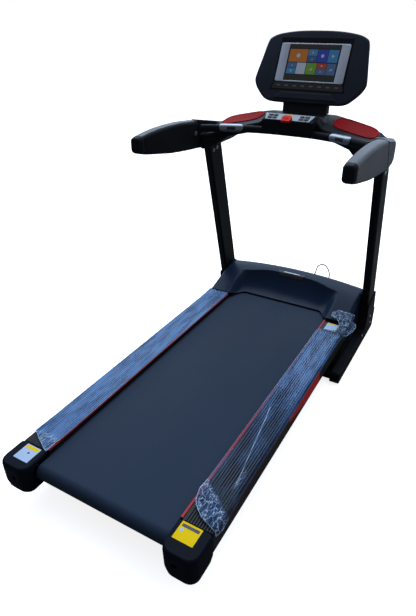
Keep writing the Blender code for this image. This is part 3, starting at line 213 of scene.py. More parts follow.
def finish(
    name, colour, other, roughness, specular=0.5, spread=0.06, metallic=0.0, patch=9.0, stretch=(1, 1, 1),
    grain=1100.0, relief=0.00006, coat=0.0, speckle=None, crossed=None, emission=0.0,
):
    """A procedural surface: two near colours in soft patches, uneven gloss and a fine relief.

    speckle is (scale, colour) for flecks. crossed is (threads per metre, depth) for a woven or
    moulded diamond pattern in place of the plain grain.
    """
    made, tree, shader = new_material(name)
    place = add_node(tree, "TexCoord", {}, "Object")
    stretched = mapped(tree, place, Scale=stretch)
    patches = noise_node(tree, stretched, patch, 5.0)
    tint = colour_ramp(tree, patches, (0.3, colour), (0.72, other))
    if speckle:
        scale, fleck = speckle
        flecks = ranged(tree, noise_node(tree, place, scale, 1.0), 0.56, 0.68)
        tint = mixed(tree, flecks, tint, (*fleck, 1.0))
    if crossed:
        threads, depth = crossed
        waves = [
            add_node(tree, "TexWave", {"Scale": threads / WAVES_PER_SCALE, "Vector": turned}, "Fac")
            for turned in [mapped(tree, place, Rotation=(0, 0, turn)) for turn in CROSSED_TURNS]
        ]
        height = math_node(tree, "MULTIPLY", *waves)
    else:
        depth, height = relief, noise_node(tree, stretched, grain, 2.0)
    surface = {
        "Base Color": tint,
        "Metallic": metallic,
        "Coat Weight": coat,
        "Specular IOR Level": specular,
        "Roughness": ranged(tree, patches, 0.3, 0.7, roughness - spread, roughness + spread),
        "Normal": add_node(tree, "Bump", {"Distance": depth, "Height": height}, "Normal"),
    }
    if emission:
        surface |= {"Emission Color": tint, "Emission Strength": emission}
    fill(shader, surface)
    return made


RIB_PITCH, FIRST_RIB = 0.0094, 0.292


def film_finish(name):
    """Packing film over a ribbed rail: a painted reflection of the sky in blue, and painted white highlights
    along its creases.

    It reads three values off the sheet: cover (how much it hides), vein (crumpled, where white highlights
    are painted) and rim (where a white highlight is painted along creases and edges).
    """
    made, tree, shader = new_material(name)
    place = add_node(tree, "TexCoord", {}, "Object")

    def calc(operation, *values):
        return math_node(tree, operation, *values)

    def drawn(scale, detail, distortion, low, high):
        """Noise drawn out along the rail."""
        found = noise_node(tree, mapped(tree, place, Scale=scale), 1.0, detail, distortion)
        return ranged(tree, found, low, high)

    def attribute(key):
        return add_node(tree, "Attribute", {}, "Fac", attribute_name=key)

    across = calc("ABSOLUTE", add_node(tree, "SeparateXYZ", {"Vector": place}, "X"))
    across = calc("SUBTRACT", across, FIRST_RIB + 0.43 * RIB_PITCH)
    ribs = ranged(tree, calc("COSINE", calc("MULTIPLY", across, 2 * math.pi / RIB_PITCH)), -0.8, 0.8)
    streaks = drawn((260.0, 3.2, 60.0), 2.0, 0.2, 0.36, 0.64)
    drift = drawn((34.0, 6.0, 10.0), 3.0, 0.4, 0.34, 0.62)
    cover, vein = attribute("cover"), attribute("vein")
    # Painted reflection of the sky: the film's blue brightens over the ribs, along streaks and drifts, and
    # where the sheet covers more.
    painted_sky_reflection = calc("MULTIPLY", cover, 0.4)
    for layer, strength in ((ribs, 0.26), (streaks, 0.12), (drift, 0.24)):
        painted_sky_reflection = calc("ADD", painted_sky_reflection, calc("MULTIPLY", layer, strength))

    # The creases are the edges of warped cells, where a white highlight is painted.
    warp = noise_node(tree, place, 30.0, 3.0, output="Color")
    warped = mixed(tree, 0.035, place, warp, "VECTOR")
    bent = mapped(tree, warped, Scale=(70.0, 30.0, 45.0), Rotation=(0.0, 0.0, 0.45))
    cells = {"Vector": bent, "Scale": 1.0}
    edges = add_node(tree, "TexVoronoi", cells, "Distance", feature="DISTANCE_TO_EDGE")
    lines = ranged(tree, edges, 0.0, 0.085, 1.0, 0.0)
    veins = calc("MULTIPLY", calc("POWER", lines, 1.8), vein)
    white = calc("MINIMUM", calc("ADD", veins, attribute("rim")), 1.0)

    clear = calc("MULTIPLY", ranged(tree, painted_sky_reflection, 0.32, 0.7), ranged(tree, cover, 0.0, 0.9))
    clear = calc("MAXIMUM", clear, calc("MULTIPLY", vein, 0.62))
    dark, pale, middle = (0.012, 0.034, 0.085), (0.06, 0.225, 0.5), (0.022, 0.108, 0.305)
    # The painted reflection sets the film's colour, from dark to pale blue.
    tint = colour_ramp(tree, painted_sky_reflection, (0.25, dark), (1.0, pale), (0.74, middle))
    surface = {
        "Alpha": calc("MINIMUM", calc("ADD", clear, calc("MULTIPLY", white, 0.34)), 1.0),
        "Base Color": mixed(tree, white, tint, (0.46, 0.6, 0.82, 1.0)),
        "Roughness": ranged(tree, streaks, 0.0, 1.0, 0.24, 0.44),
        "Specular IOR Level": 0.3,
    }
    fill(shader, surface)
    return made


POWDER = finish(
    "powder_coat", (0.0034, 0.0036, 0.0042), (0.0062, 0.0064, 0.0072), 0.42, 0.14, grain=650, relief=0.00009,
)
SHELL = finish("moulded_black", (0.008, 0.0092, 0.0125), (0.012, 0.0135, 0.018), 0.46, 0.05)
HEAD_SHELL = finish("head_black", (0.018, 0.024, 0.041), (0.024, 0.031, 0.051), 0.46, 0.12)
HOOD = finish("hood_navy", (0.007, 0.0152, 0.038), (0.01, 0.0205, 0.0485), 0.3, 0.06, spread=0.04, patch=4.0)
CAP = finish("end_cap_black", (0.0045, 0.0065, 0.013), (0.0068, 0.0092, 0.017), 0.5, 0.04)
ARMREST = finish(
    "armrest_skin", (0.094, 0.105, 0.128), (0.132, 0.145, 0.168), 0.62, 0.25, grain=420, relief=0.00025,
    speckle=(520.0, (0.28, 0.3, 0.34)),
)
BELT = finish(
    "belt_surface", (0.0155, 0.028, 0.0545), (0.02, 0.0352, 0.0665), 0.62, 0.12, spread=0.07, patch=3.0,
    stretch=(3.0, 0.5, 1.0), crossed=(420.0, 0.00016),
)
RAIL = finish("rail_plastic", (0.0055, 0.0066, 0.0095), (0.009, 0.0105, 0.015), 0.36, 0.2, relief=0.00005)
TRIM_RED = finish("trim_red", (0.36, 0.014, 0.022), (0.44, 0.022, 0.032), 0.4, 0.2)
FLASH_RED = finish("flash_red", (0.62, 0.014, 0.016), (0.7, 0.022, 0.022), 0.4, 0.2)
MAT_RED = finish(
    "tray_mat_red", (0.245, 0.002, 0.0035), (0.33, 0.004, 0.006), 0.72, 0.04, crossed=(700.0, 0.00018),
)
KEY_RED = finish("key_red", (0.7, 0.01, 0.006), (0.8, 0.018, 0.01), 0.42, 0.08)
PANEL = finish("keypad_foil", (0.11, 0.14, 0.195), (0.155, 0.19, 0.25), 0.34, metallic=0.3)
CHROME = finish("polished_chrome", (0.17, 0.19, 0.23), (0.25, 0.27, 0.32), 0.3, spread=0.04, metallic=1.0)
STEEL = finish(
    "ground_steel", (0.48, 0.49, 0.51), (0.6, 0.61, 0.63), 0.3, metallic=1.0, stretch=(0.2, 6, 6), grain=900,
    relief=0.00003,
)
FRAME_SILVER = finish("frame_silver", (0.5, 0.57, 0.72), (0.58, 0.65, 0.8), 0.34, metallic=0.15)
GLASS = finish("screen_glass", (0.006, 0.008, 0.013), (0.012, 0.015, 0.024), 0.1, spread=0.03, coat=0.6)
BOARD = finish(
    "coated_board", (0.008, 0.008, 0.009), (0.014, 0.013, 0.013), 0.6, 0.2, stretch=(1, 0.4, 30), patch=26,
)
RUBBER = finish("rubber", (0.009, 0.009, 0.01), (0.015, 0.015, 0.016), 0.74, 0.25, grain=500)
CASTING = finish("motor_casting", (0.05, 0.054, 0.062), (0.085, 0.09, 0.1), 0.44, metallic=0.7)
GROOVE = finish("groove_black", (0.003, 0.003, 0.004), (0.006, 0.006, 0.008), 0.62)
PAPER = finish("sticker_white", (0.44, 0.56, 0.78), (0.5, 0.62, 0.84), 0.55, 0.15)
YELLOW = finish("sticker_yellow", (0.9, 0.58, 0.004), (0.98, 0.66, 0.01), 0.6, 0.04)
BLUE = finish("sticker_blue", (0.3, 0.46, 0.74), (0.36, 0.52, 0.78), 0.42)
INK = finish("sticker_ink", (0.012, 0.012, 0.016), (0.03, 0.03, 0.036), 0.45)
FILM = film_finish("packing_film")

# The model's own pieces that stay as they are.
CAD_FINISHES = (
    (POWDER, "base_frame lift_frame fold_carrier deck_frame strut_cylinder left_upright right_upright"),
    (SHELL, "motor_pan power_inlet_box"),
    (HEAD_SHELL, "display_neck"),
    (BELT, "running_belt"),
    (BOARD, "running_deck"),
    (PANEL, "keypad_panel"),
    (KEY_RED, "power_switch"),
    (STEEL, "rear_roller front_roller lift_screw strut_rod"),
    (CASTING, "drive_motor motor_pulley motor_controller lift_motor"),
    (RAIL, "left_foot_rail right_foot_rail"),
    (RUBBER, "drive_belt cord_gland power_plug left_transport_wheel right_transport_wheel"),
    (RUBBER, "left_rear_foot right_rear_foot"),
)
KEYS = [name for name in NODES if name.startswith("key_")]
for material, names in (*CAD_FINISHES, (SHELL, " ".join(KEYS))):
    for name in names.split():
        NODES[name].data.materials.clear()
        NODES[name].data.materials.append(material)

# ---- modelling helpers
UP = Vector((0, 0, 1))
LOOKS = bpy.data.collections.new("looks")
SCENE.collection.children.link(LOOKS)


def add_mesh(name, points, faces, material, crease=35):
    data = bpy.data.meshes.new(name)
    work = bmesh.new()
    corners = [work.verts.new(point) for point in points]
    for face in faces:
        work.faces.new([corners[i] for i in face])
    bmesh.ops.remove_doubles(work, verts=work.verts, dist=1e-6)
    bmesh.ops.recalc_face_normals(work, faces=work.faces)
    work.to_mesh(data)
    work.free()
    data.materials.append(material)
    data.shade_smooth()
    data.set_sharp_from_angle(angle=math.radians(crease))
    return add_object(name, data, LOOKS)


def band_faces(rows, count, closed=False):
    """Faces between rings of points, and from the last ring to the first if closed."""
    faces = []
    for row in range(rows if closed else rows - 1):
        a, b = row * count, (row + 1) % rows * count
        for i in range(count):
            j = (i + 1) % count
            faces.append((a + i, a + j, b + j, b + i))
    return faces


def lofted(name, rings, material, crease=35):
    """A closed solid through rings of points."""
    count, total = len(rings[0]), len(rings) * len(rings[0])
    faces = band_faces(len(rings), count)
    faces += [tuple(reversed(range(count))), tuple(range(total - count, total))]
    return add_mesh(name, [p for ring in rings for p in ring], faces, material, crease)


def grid(point_at, columns, rows):
    """Points and faces of an open surface, given by a function of two shares, 0 to 1."""
    points = [point_at(i / columns, j / rows) for i in range(columns + 1) for j in range(rows + 1)]
    step = rows + 1
    corners = [i * step + j for i in range(columns) for j in range(rows)]
    return points, [(k, k + step, k + step + 1, k + 1) for k in corners]


def skin(name, point_at, columns, rows, material, thickness, crease=60):
    """An open surface made thick inwards."""
    made = add_mesh(name, *grid(point_at, columns, rows), material, crease)
    set_all(made.modifiers.new("wall", "SOLIDIFY"), thickness=thickness, offset=-1.0)
    return made


def arc(centre, radius, start, end, steps):
    turns = [math.radians(start + (end - start) * i / steps) for i in range(steps + 1)]
    return [(centre[0] + radius * math.cos(turn), centre[1] + radius * math.sin(turn)) for turn in turns]


def circle(radius, sides=24):
    return arc((0, 0), radius, 0, 360 - 360 / sides, sides - 1)


def rectangle(low, high, radius=0.0, steps=6):
    """A rectangle's outline, with rounded corners if there is a radius."""
    (x0, y0), (x1, y1) = low, high
    if not radius:
        return [(x0, y0), (x1, y0), (x1, y1), (x0, y1)]
    centres = rectangle((x0 + radius, y0 + radius), (x1 - radius, y1 - radius))
    outline = []
    for quarter, centre in enumerate(centres[1:] + centres[:1]):
        outline += arc(centre, radius, 90 * quarter - 90, 90 * quarter, steps)
    return outline


def placed(outline, depth, place):
    return [place @ Vector((x, y, depth)) for x, y in outline]


def plate(name, outline, low, high, material, place, edge=0.0):
    """A flat outline with a thickness from low to high, set in a frame, its edges rounded or not."""
    made = lofted(name, [placed(outline, depth, place) for depth in (low, high)], material)
    if edge:
        bevel = made.modifiers.new("rounded edges", "BEVEL")
        set_all(bevel, width=edge, segments=2, limit_method="ANGLE", harden_normals=True)
    return made


def smooth_route(route, count):
    """Evenly spaced points on one smooth curve (Catmull-Rom) through a route's points."""
    knots = [Vector(point) for point in route]
    knots = [2 * knots[0] - knots[1], *knots, 2 * knots[-1] - knots[-2]]
    fine = []
    for a, b, c, d in zip(knots, knots[1:], knots[2:], knots[3:]):
        bend, twist = 2 * a - 5 * b + 4 * c - d, 3 * b - a - 3 * c + d
        for i in range(24):
            t = i / 24
            fine.append(0.5 * (2 * b + (c - a) * t + bend * t**2 + twist * t**3))
    fine.append(knots[-2])
    travelled = [0.0]
    for here, there in zip(fine, fine[1:]):
        travelled.append(travelled[-1] + (there - here).length)
    points, at = [], 0
    for i in range(count):
        want = travelled[-1] * i / (count - 1)
        while at < len(fine) - 2 and travelled[at + 1] < want:
            at += 1
        span = travelled[at + 1] - travelled[at]
        points.append(fine[at].lerp(fine[at + 1], (want - travelled[at]) / span))
    return points


def eased(low, high, value):
    """How far a value has come from low to high, 0 to 1, with a soft start and end."""
    t = min(1.0, max(0.0, (value - low) / (high - low)))
    return t * t * (3 - 2 * t)


def reading(table, x):
    """A table's columns at x, read in straight lines between rows that start with x."""
    for before, after in zip(table, table[1:]):
        if x <= after[0]:
            t = max(0.0, (x - before[0]) / (after[0] - before[0]))
            return [p + (q - p) * t for p, q in zip(before[1:], after[1:])]
    return list(table[-1][1:])


def tube(name, points, radius, material, sides):
    """A round bar along a route, with flat ends."""
    rings = []
    for i, point in enumerate(points):
        before, after = points[max(0, i - 1)], points[min(len(points) - 1, i + 1)]
        along = (after - before).normalized()
        side = UP.cross(along).normalized()
        lift = along.cross(side)
        rings.append([point + side * a + lift * b for a, b in circle(radius, sides)])
    return lofted(name, rings, material)


def moulded(node, material, voxel, passes):
    """A finer copy of a model's piece, its edges and steps eased as a moulding's are."""
    copy = add_object(f"{node}_moulding", NODES[node].data.copy(), LOOKS)
    set_all(copy.modifiers.new("remesh", "REMESH"), mode="VOXEL", voxel_size=voxel)
    set_all(copy.modifiers.new("ease", "SMOOTH"), factor=0.5, iterations=passes)
    set_all(copy.modifiers.new("thin", "DECIMATE"), ratio=0.35)
    bpy.context.view_layer.update()
    evaluated = copy.evaluated_get(bpy.context.evaluated_depsgraph_get())
    data = bpy.data.meshes.new_from_object(evaluated)
    copy.modifiers.clear()
    copy.data = data
    data.materials.clear()
    data.materials.append(material)
    data.shade_smooth()
    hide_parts(node)
    return copy


def second_finish(piece, material, chosen):
    """Gives the chosen faces a finish of their own."""
    piece.data.materials.append(material)
    for face in piece.data.polygons:
        if chosen(face):
            face.material_index = 1


def on(piece, body, slot=None):
    """Fixes a piece to a body; its slot, the material slot that it would take its finish from, is not used.
    """
    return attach(piece, body)


def black(piece, body="base"):
    return on(piece, body, "black_plastic")


def button_head(name, at, axis, radius, height, material=STEEL):
    """A domed screw head with a socket, standing off a surface along an axis."""
    place = Matrix.Translation(at) @ Vector(axis).to_track_quat("Z", "Y").to_matrix().to_4x4()
    socket = radius * 0.42
    section = (
        (radius, -0.0015), (radius, height * 0.35), (radius * 0.86, height * 0.75), (radius * 0.62, height),
        (socket, height), (socket * 0.96, height * 0.3),
    )
    return lofted(name, [placed(circle(size), depth, place) for size, depth in section], material)


# ---- mains lead
CORD_DIAMETER = 0.007
CORD_LIE = 0.0038
CORD_POINTS = 300
CORD_LYING = (
    (-0.061, 1.075), (-0.066, 1.17), (-0.064, 1.28), (-0.062, 1.37), (-0.067, 1.433), (-0.08, 1.5),
    (-0.087, 1.55), (-0.078, 1.588), (-0.05, 1.592), (-0.013, 1.545), (0.014, 1.49), (0.034, 1.429),
    (0.05, 1.34), (0.046, 1.25), (0.036, 1.16), (0.046, 1.085), (0.088, 1.05), (0.132, 1.078),
    (0.146, 1.14),
)
CORD_ROUTE = (
    (-0.06, 0.9606, 0.022), (-0.06, 0.985, 0.0215), (-0.06, 1.03, 0.0075),
    *[(x, y, CORD_LIE) for x, y in CORD_LYING],
    (0.142, 1.215, 0.006), (0.138, 1.262, 0.0135), (0.137, 1.285, 0.015),
)


def make_mains_lead():
    data = bpy.data.curves.new("mains_lead", "CURVE")
    set_all(data, dimensions="3D", bevel_depth=CORD_DIAMETER / 2, bevel_resolution=4, use_fill_caps=True)
    points = smooth_route(CORD_ROUTE, CORD_POINTS)
    spline = data.splines.new("POLY")
    spline.points.add(len(points) - 1)
    for point, where in zip(spline.points, points):
        point.co = (*where, 1.0)
    data.materials.append(RUBBER)
    lead = add_object("mains_lead", data, LOOKS)
    on(lead, "base", "rubber")
    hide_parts("power_cord")
    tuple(CORD_ROUTE[0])


make_mains_lead()

# ---- motor hood
HOOD_FRONT, HOOD_HALF, HOOD_SKIRT = 0.94, 0.395, 0.09
HOOD_REAR_ARM, HOOD_REAR_MID = 0.545, 0.635
HOOD_TOP_END, HOOD_CORNER = 0.82, 0.022
HOOD_CELLS, HOOD_WALL = (168, 80), 0.003
HOOD_CROWN_Z, HOOD_ARM_Z, HOOD_LIP_Z = 0.293, 0.199, 0.1865
# The shares of the skin's grid that the top takes, across and along.
HOOD_ACROSS, HOOD_ALONG = 11 / 14, 0.72


def hood_rear(x):
    """How far back the hood reaches at x: a U with rounded corners, and an arm each side."""
    reach = eased(0.205, 0.285, abs(x)) ** 1.4
    return HOOD_REAR_MID - (HOOD_REAR_MID - HOOD_REAR_ARM) * reach


def hood_ridge(x):
    """Where the scoop over the belt ends in the hood's top."""
    return 0.765 - 0.035 * eased(0.1, 0.29, abs(x))


def hood_top(x, y):
    """Height of the hood over the belt and the arms."""
    crown = HOOD_CROWN_Z - 0.19 * x * x
    arm = HOOD_ARM_Z + (crown - HOOD_ARM_Z) * eased(HOOD_REAR_ARM - 0.06, 0.8, y)
    rear, ridge = hood_rear(x), hood_ridge(x)
    along = min(1.0, max(0.0, (y - rear) / (ridge - rear)))
    scoop = HOOD_LIP_Z + (arm - 0.004 - HOOD_LIP_Z) * (0.35 * along + 0.65 * along**2)
    scoop = min(scoop, arm) if y < ridge else arm
    return scoop + (arm - scoop) * eased(0.245, 0.292, abs(x))


def hood_point(u, v):
    """The hood's outer skin. u runs across (-1 to 1), v from the rear edge (0) to the front."""
    across, side = abs(u), 1 if u >= 0 else -1
    x_top = (HOOD_HALF - HOOD_CORNER) * min(1.0, across / HOOD_ACROSS)
    rear = hood_rear(x_top)
    if v <= HOOD_ALONG:
        y = rear + (HOOD_TOP_END - rear) * (v / HOOD_ALONG)
        z = hood_top(x_top, y)
    else:
        turn = (v - HOOD_ALONG) / (1 - HOOD_ALONG) * math.pi / 2
        y = HOOD_TOP_END + (HOOD_FRONT - HOOD_TOP_END) * math.sin(turn)
        z = HOOD_SKIRT + (hood_top(x_top, HOOD_TOP_END) - HOOD_SKIRT) * max(0.0, math.cos(turn))
    if across <= HOOD_ACROSS:
        return (side * x_top, y, z)
    # A rounded corner, and the flat end below it.
    drop = (across - HOOD_ACROSS) / (1 - HOOD_ACROSS)
    turn = min(1.0, 1.5 * drop) * math.pi / 2
    corner = min(HOOD_CORNER, z - HOOD_SKIRT)
    z -= corner * (1 - math.cos(turn))
    z -= (z - HOOD_SKIRT) * max(0.0, 3 * drop - 2)
    return (side * (x_top + HOOD_CORNER * math.sin(turn)), y, z)


def make_hood():
    hood = skin("hood_moulding", lambda u, v: hood_point(2 * u - 1, v), *HOOD_CELLS, HOOD, HOOD_WALL, 40)
    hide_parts("motor_hood")
    on(hood, "deck", "hood_plastic")


# Name, rear Y, depth, half width and its growth, lift, grid, finish, thickness and slot.
HOOD_PATCHES = (
    ("hood_ridge_recess", 0.754, 0.03, 0.066, 0.02, 0.001, (24, 8), GROOVE, 0.0012, "hood_plastic"),
    ("hood_plain_badge", 0.77, 0.0065, 0.046, 0.0, 0.0024, (20, 3), FRAME_SILVER, 0.0014, "screen_frame"),
)


def make_hood_patch(name, rear, depth, half, growth, lift, cells, material, thickness, slot):
    """A thin piece that lies on the hood's top."""

    def point_at(u, v):
        x, y = (2 * u - 1) * (half + growth * v), rear + depth * v
        return (x, y, hood_top(x, y) + lift)

    on(skin(name, point_at, *cells, material, thickness), "deck", slot)


make_hood()
for patch in HOOD_PATCHES:
    make_hood_patch(*patch)

# ---- armrests
PAD_STATIONS = (
    # Y, lowest Z, highest Z, inner |X|, outer |X|, corner radius
    (0.0, 1.06, 1.102, 0.422, 0.452, 0.01),
    (0.002, 1.055, 1.107, 0.418, 0.4555, 0.012),
    (0.006, 1.051, 1.1105, 0.415, 0.458, 0.013),
    (0.013, 1.0475, 1.113, 0.413, 0.4595, 0.015),
    (0.024, 1.0445, 1.1152, 0.412, 0.4605, 0.016),
    (0.06, 1.036, 1.12, 0.411, 0.462, 0.017),
    (0.1, 1.029, 1.124, 0.4105, 0.463, 0.017),
    (0.156, 1.02, 1.1275, 0.41, 0.464, 0.017),
    (0.23, 1.008, 1.129, 0.4095, 0.465, 0.017),
    (0.32, 0.998, 1.1275, 0.4085, 0.465, 0.017),
    (0.4, 0.99, 1.123, 0.4085, 0.465, 0.017),
    (0.47, 0.984, 1.118, 0.4085, 0.465, 0.017),
)
CAP_END = 0.027
PAD_LENGTH, PAD_RINGS = 0.4655 - CAP_END, 44
CAP_YS = (0.001, 0.0025, 0.006, 0.013, 0.02, CAP_END - 0.0008)


def armrest_ring(side, y, shrink=0.0):
    """A cross-section, leaning with the slanting joint towards the console."""
    low, high, inner, outer, radius = reading(PAD_STATIONS, y)
    outline = rectangle((inner + shrink, low + shrink), (outer - shrink, high - shrink), radius, 7)
    lean = 0.45 * eased(0.28, 0.46, y)
    return [(side * x, y + lean * (1.05 - z), z) for x, z in outline]


def make_armrest(word, side):
    start = CAP_END + 0.0015
    ys = [start + PAD_LENGTH * i / PAD_RINGS for i in range(PAD_RINGS + 1)]
    rings = [armrest_ring(side, start, 0.0022), armrest_ring(side, start + 0.0006)]
    rings += [armrest_ring(side, y) for y in ys[1:]]
    rings.append(armrest_ring(side, ys[-1] + 0.0012, 0.0016))
    pad = lofted(f"{word}_armrest_pad", rings, ARMREST, crease=50)
    second_finish(pad, SHELL, lambda face: face.normal.x * side < -0.5)
    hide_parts(f"{word}_armrest")
    on(pad, "base", "armrest_foam")
    rings = [armrest_ring(side, 0.0, 0.003)] + [armrest_ring(side, y) for y in CAP_YS]
    rings.append(armrest_ring(side, CAP_END, 0.0012))
    black(lofted(f"{word}_armrest_end_cap", rings, SHELL, crease=50))
    joint = [armrest_ring(side, y, 0.0022) for y in (0.467, 0.47)]
    black(lofted(f"{word}_armrest_joint", joint, GROOVE))


for word, side in SIDES:
    make_armrest(word, side)

# ---- console
PANEL_PLACE = Matrix.Translation((0.0, 0.527, 1.136)) @ Matrix.Rotation(math.radians(24), 4, "X")
HOUSING_INNER_X = 0.4085
GRAB_Z, GRAB_RADIUS = 1.086, 0.0165
GRAB_ROUTE = ((0.0, 0.553), (0.113, 0.548), (0.204, 0.527), (0.315, 0.483), (0.388, 0.446))
SENSOR_ENDS = ((0.209, 0.525), (0.311, 0.4846))
SENSOR_MIDDLE, SENSOR_HALF, SENSOR_RINGS = 30.0, 64.0, 48
MAT_CORNERS = ((0.172, 0.604), (0.176, 0.729), (0.377, 0.707), (0.374, 0.588))
# The mat's section: the share that it is drawn in by, and the height over the tray.
MAT_SECTION = (
    (0.0, 0.0003), (0.0, 0.0028), (0.015, 0.0038), (0.05, 0.0038), (0.08, 0.0022), (0.12, 0.0018)
)
SAFETY_GRIP = (
    (-0.0175, -0.02), (0.0175, -0.02), (0.0225, -0.012), (0.0225, 0.0125),
    (0.015, 0.025), (-0.015, 0.025), (-0.0225, 0.0125), (-0.0225, -0.012),
)


def tray_height(x, y):
    """The trays' sloping plane."""
    return min(1.144, 1.1125 - 0.18 * (abs(x) - 0.2) + 0.2 * (y - 0.6))


def on_housing(face):
    """Whether a face is on the outer side of the housings, which carry the armrests' skin on."""
    out = face.normal.x if face.center.x > 0 else -face.normal.x
    return abs(face.center.x) > HOUSING_INNER_X and out > -0.5


def make_console():
    for node in ("console_lower_shell", "console_upper_shell"):
        shell = moulded(node, SHELL, 0.0028, 4)
        second_finish(shell, ARMREST, on_housing)
        black(shell)
    right = [(x, y, GRAB_Z) for x, y in GRAB_ROUTE]
    left = [(-x, y, z) for x, y, z in reversed(right[1:])]
    bar = tube("grab_bar_grip", smooth_route(left + right, 90), GRAB_RADIUS, SHELL, 28)
    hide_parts("grab_bar")
    on(bar, "base", "black_steel")


def make_sensor(word, side):
    """A chrome saddle on the grab bar, with a black divider slot."""
    inner_end, outer_end = [Vector((side * x, y, GRAB_Z)) for x, y in SENSOR_ENDS]
    across = UP.cross((outer_end - inner_end).normalized()) * side

    def band(share, inner, outer, low, high, steps=20):
        where = inner_end.lerp(outer_end, share)
        ring = arc((0, 0), outer, low, high, steps) + arc((0, 0), inner, high, low, steps)
        return [where - across * a + UP * b for a, b in ring]

    inner, outer = GRAB_RADIUS + 0.001, GRAB_RADIUS + 0.0044
    rings = []
    for i in range(SENSOR_RINGS + 1):
        share = i / SENSOR_RINGS
        ends = min(share, 1 - share) / 0.24
        reach = SENSOR_HALF * (0.18 + 0.82 * math.sqrt(max(0.0, 1 - (1 - min(1.0, ends)) ** 2)))
        thick = outer - 0.0018 * (1 - min(1.0, ends * 2.5)) ** 2
        rings.append(band(share, inner, thick, SENSOR_MIDDLE - reach, SENSOR_MIDDLE + reach))
    cover_piece = lofted(f"{word}_sensor_plate", rings, CHROME)
    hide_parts(f"{word}_pulse_sensor")
    on(cover_piece, "base", "chrome")
    slot = [band(s, outer - 0.001, outer + 0.0005, -4, 32) for s in (0.32, 0.34, 0.66, 0.68)]
    black(lofted(f"{word}_sensor_slot", slot, GROOVE))


def mat_outline(side, shrink):
    """The tray mat's rounded outline in plan, drawn in towards its middle by a share."""
    corners = [Vector(corner) for corner in MAT_CORNERS]
    centre = sum(corners, Vector((0.0, 0.0))) / 4
    ring = []
    for i, here in enumerate(corners):
        back, ahead = (0.46, 0.32) if i % 2 else (0.32, 0.46)
        start, end = here.lerp(corners[i - 1], back), here.lerp(corners[(i + 1) % 4], ahead)
        for step in range(9):
            t = step / 8
            point = (1 - t) ** 2 * start + 2 * t * (1 - t) * here + t**2 * end
            ring.append(centre + (point - centre) * (1 - shrink))
    return [(side * p.x, p.y) for p in ring]


def make_mat(word, side):
    """A soft mat with a raised lip round a dished middle."""
    rings = [
        [(x, y, tray_height(x, y) + lift) for x, y in mat_outline(side, shrink)]
        for shrink, lift in MAT_SECTION
    ]
    mat = lofted(f"{word}_mat", rings, MAT_RED)
    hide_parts(f"{word}_tray_mat")
    on(mat, "base", "red_mat")


def make_keypad():
    strip = rectangle((-0.015, 0.0335), (0.023, 0.0435), 0.0015)
    on(plate("keypad_yellow_strip", strip, 0.0044, 0.0052, YELLOW, PANEL_PLACE), "base")
    key = plate("safety_key_grip", SAFETY_GRIP, 0.005, 0.0155, KEY_RED, PANEL_PLACE, 0.0024)
    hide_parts("safety_key")
    on(key, "safety_key", "key_red")
    for i in range(3):
        low = -0.009 + 0.0065 * i
        outline = rectangle((-0.012, low), (0.012, low + 0.0026), 0.0012, 3)
        ridge = plate(f"safety_key_ridge_{i + 1}", outline, 0.0153, 0.0168, KEY_RED, PANEL_PLACE, 0.0005)
        on(ridge, "safety_key", "key_red")
    for word, side in reversed(SIDES):
        pad = rectangle((side * 0.074 - 0.0235, 0.006), (side * 0.074 + 0.0235, 0.041), 0.004)
        black(plate(f"{word}_key_group", pad, 0.0042, 0.0048, INK, PANEL_PLACE))


def make_key_marks():
    """A plain raised arrow or bar on each key."""
    for name in KEYS:
        low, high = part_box(name)
        centre = PANEL_PLACE.inverted() @ ((low + high) / 2)
        if name.endswith("down"):
            outline = [(-0.0026, 0.0013), (0.0, -0.0017), (0.0026, 0.0013)]
        elif name.endswith("up"):
            outline = [(-0.0026, -0.0013), (0.0026, -0.0013), (0.0, 0.0017)]
        else:
            outline = rectangle((-0.0024, -0.0006), (0.0024, 0.0006))
        outline = [(x + centre.x, y + centre.y) for x, y in outline]
        top = centre.z + 0.0019
        on(plate(f"{name}_mark", outline, top - 0.0002, top + 0.0002, PANEL, PANEL_PLACE), name)


make_console()
make_keypad()
make_key_marks()
for word, side in SIDES:
    make_sensor(word, side)
    make_mat(word, side)

# ---- display head
HEAD_PLACE = Matrix.Translation((0.0, 0.8, 1.345)) @ Matrix.Rotation(math.radians(65), 4, "X")
HEAD_BACK = HEAD_PLACE @ Matrix.Rotation(math.pi, 4, "Y")
HEAD_HALF, HEAD_POINTS = (0.267, 0.16), 160
HEAD_HALF_OUTLINE = (
    (0.0, 0.147), (0.1, 0.144), (0.182, 0.132), (0.222, 0.116), (0.238, 0.095),
    (0.254, 0.01), (0.267, -0.065), (0.266, -0.088), (0.25, -0.118), (0.215, -0.155),
    (0.19, -0.17), (0.15, -0.1765), (0.0, -0.179),
)
# How far each ring of the head is drawn in, and its depth.
HEAD_FRONT_RINGS = (
    (0.0015, 0.0), (0.0, 0.001), (0.0, 0.007), (0.0012, 0.0095), (0.0035, 0.0118),
    (0.0065, 0.013), (0.01, 0.0135),
)
HEAD_REAR_RINGS = (
    (0.07, -0.05), (0.055, -0.0497), (0.044, -0.0485), (0.032, -0.045), (0.021, -0.0385),
    (0.012, -0.029), (0.0055, -0.018), (0.002, -0.009), (0.001, -0.002), (0.0025, -0.0008),
)
# The silver frame's section: half width, half height, corner radius and depth.
SCREEN_HALF, GLASS_HALF = (0.163, 0.0865), (0.123, 0.081)
BEZEL_RINGS = (
    (*SCREEN_HALF, 0.008, 0.014), (*SCREEN_HALF, 0.008, 0.0162), (0.1615, 0.085, 0.007, 0.0172),
    (0.1255, 0.0825, 0.003, 0.0172), (*GLASS_HALF, 0.002, 0.016), (*GLASS_HALF, 0.002, 0.014),
)


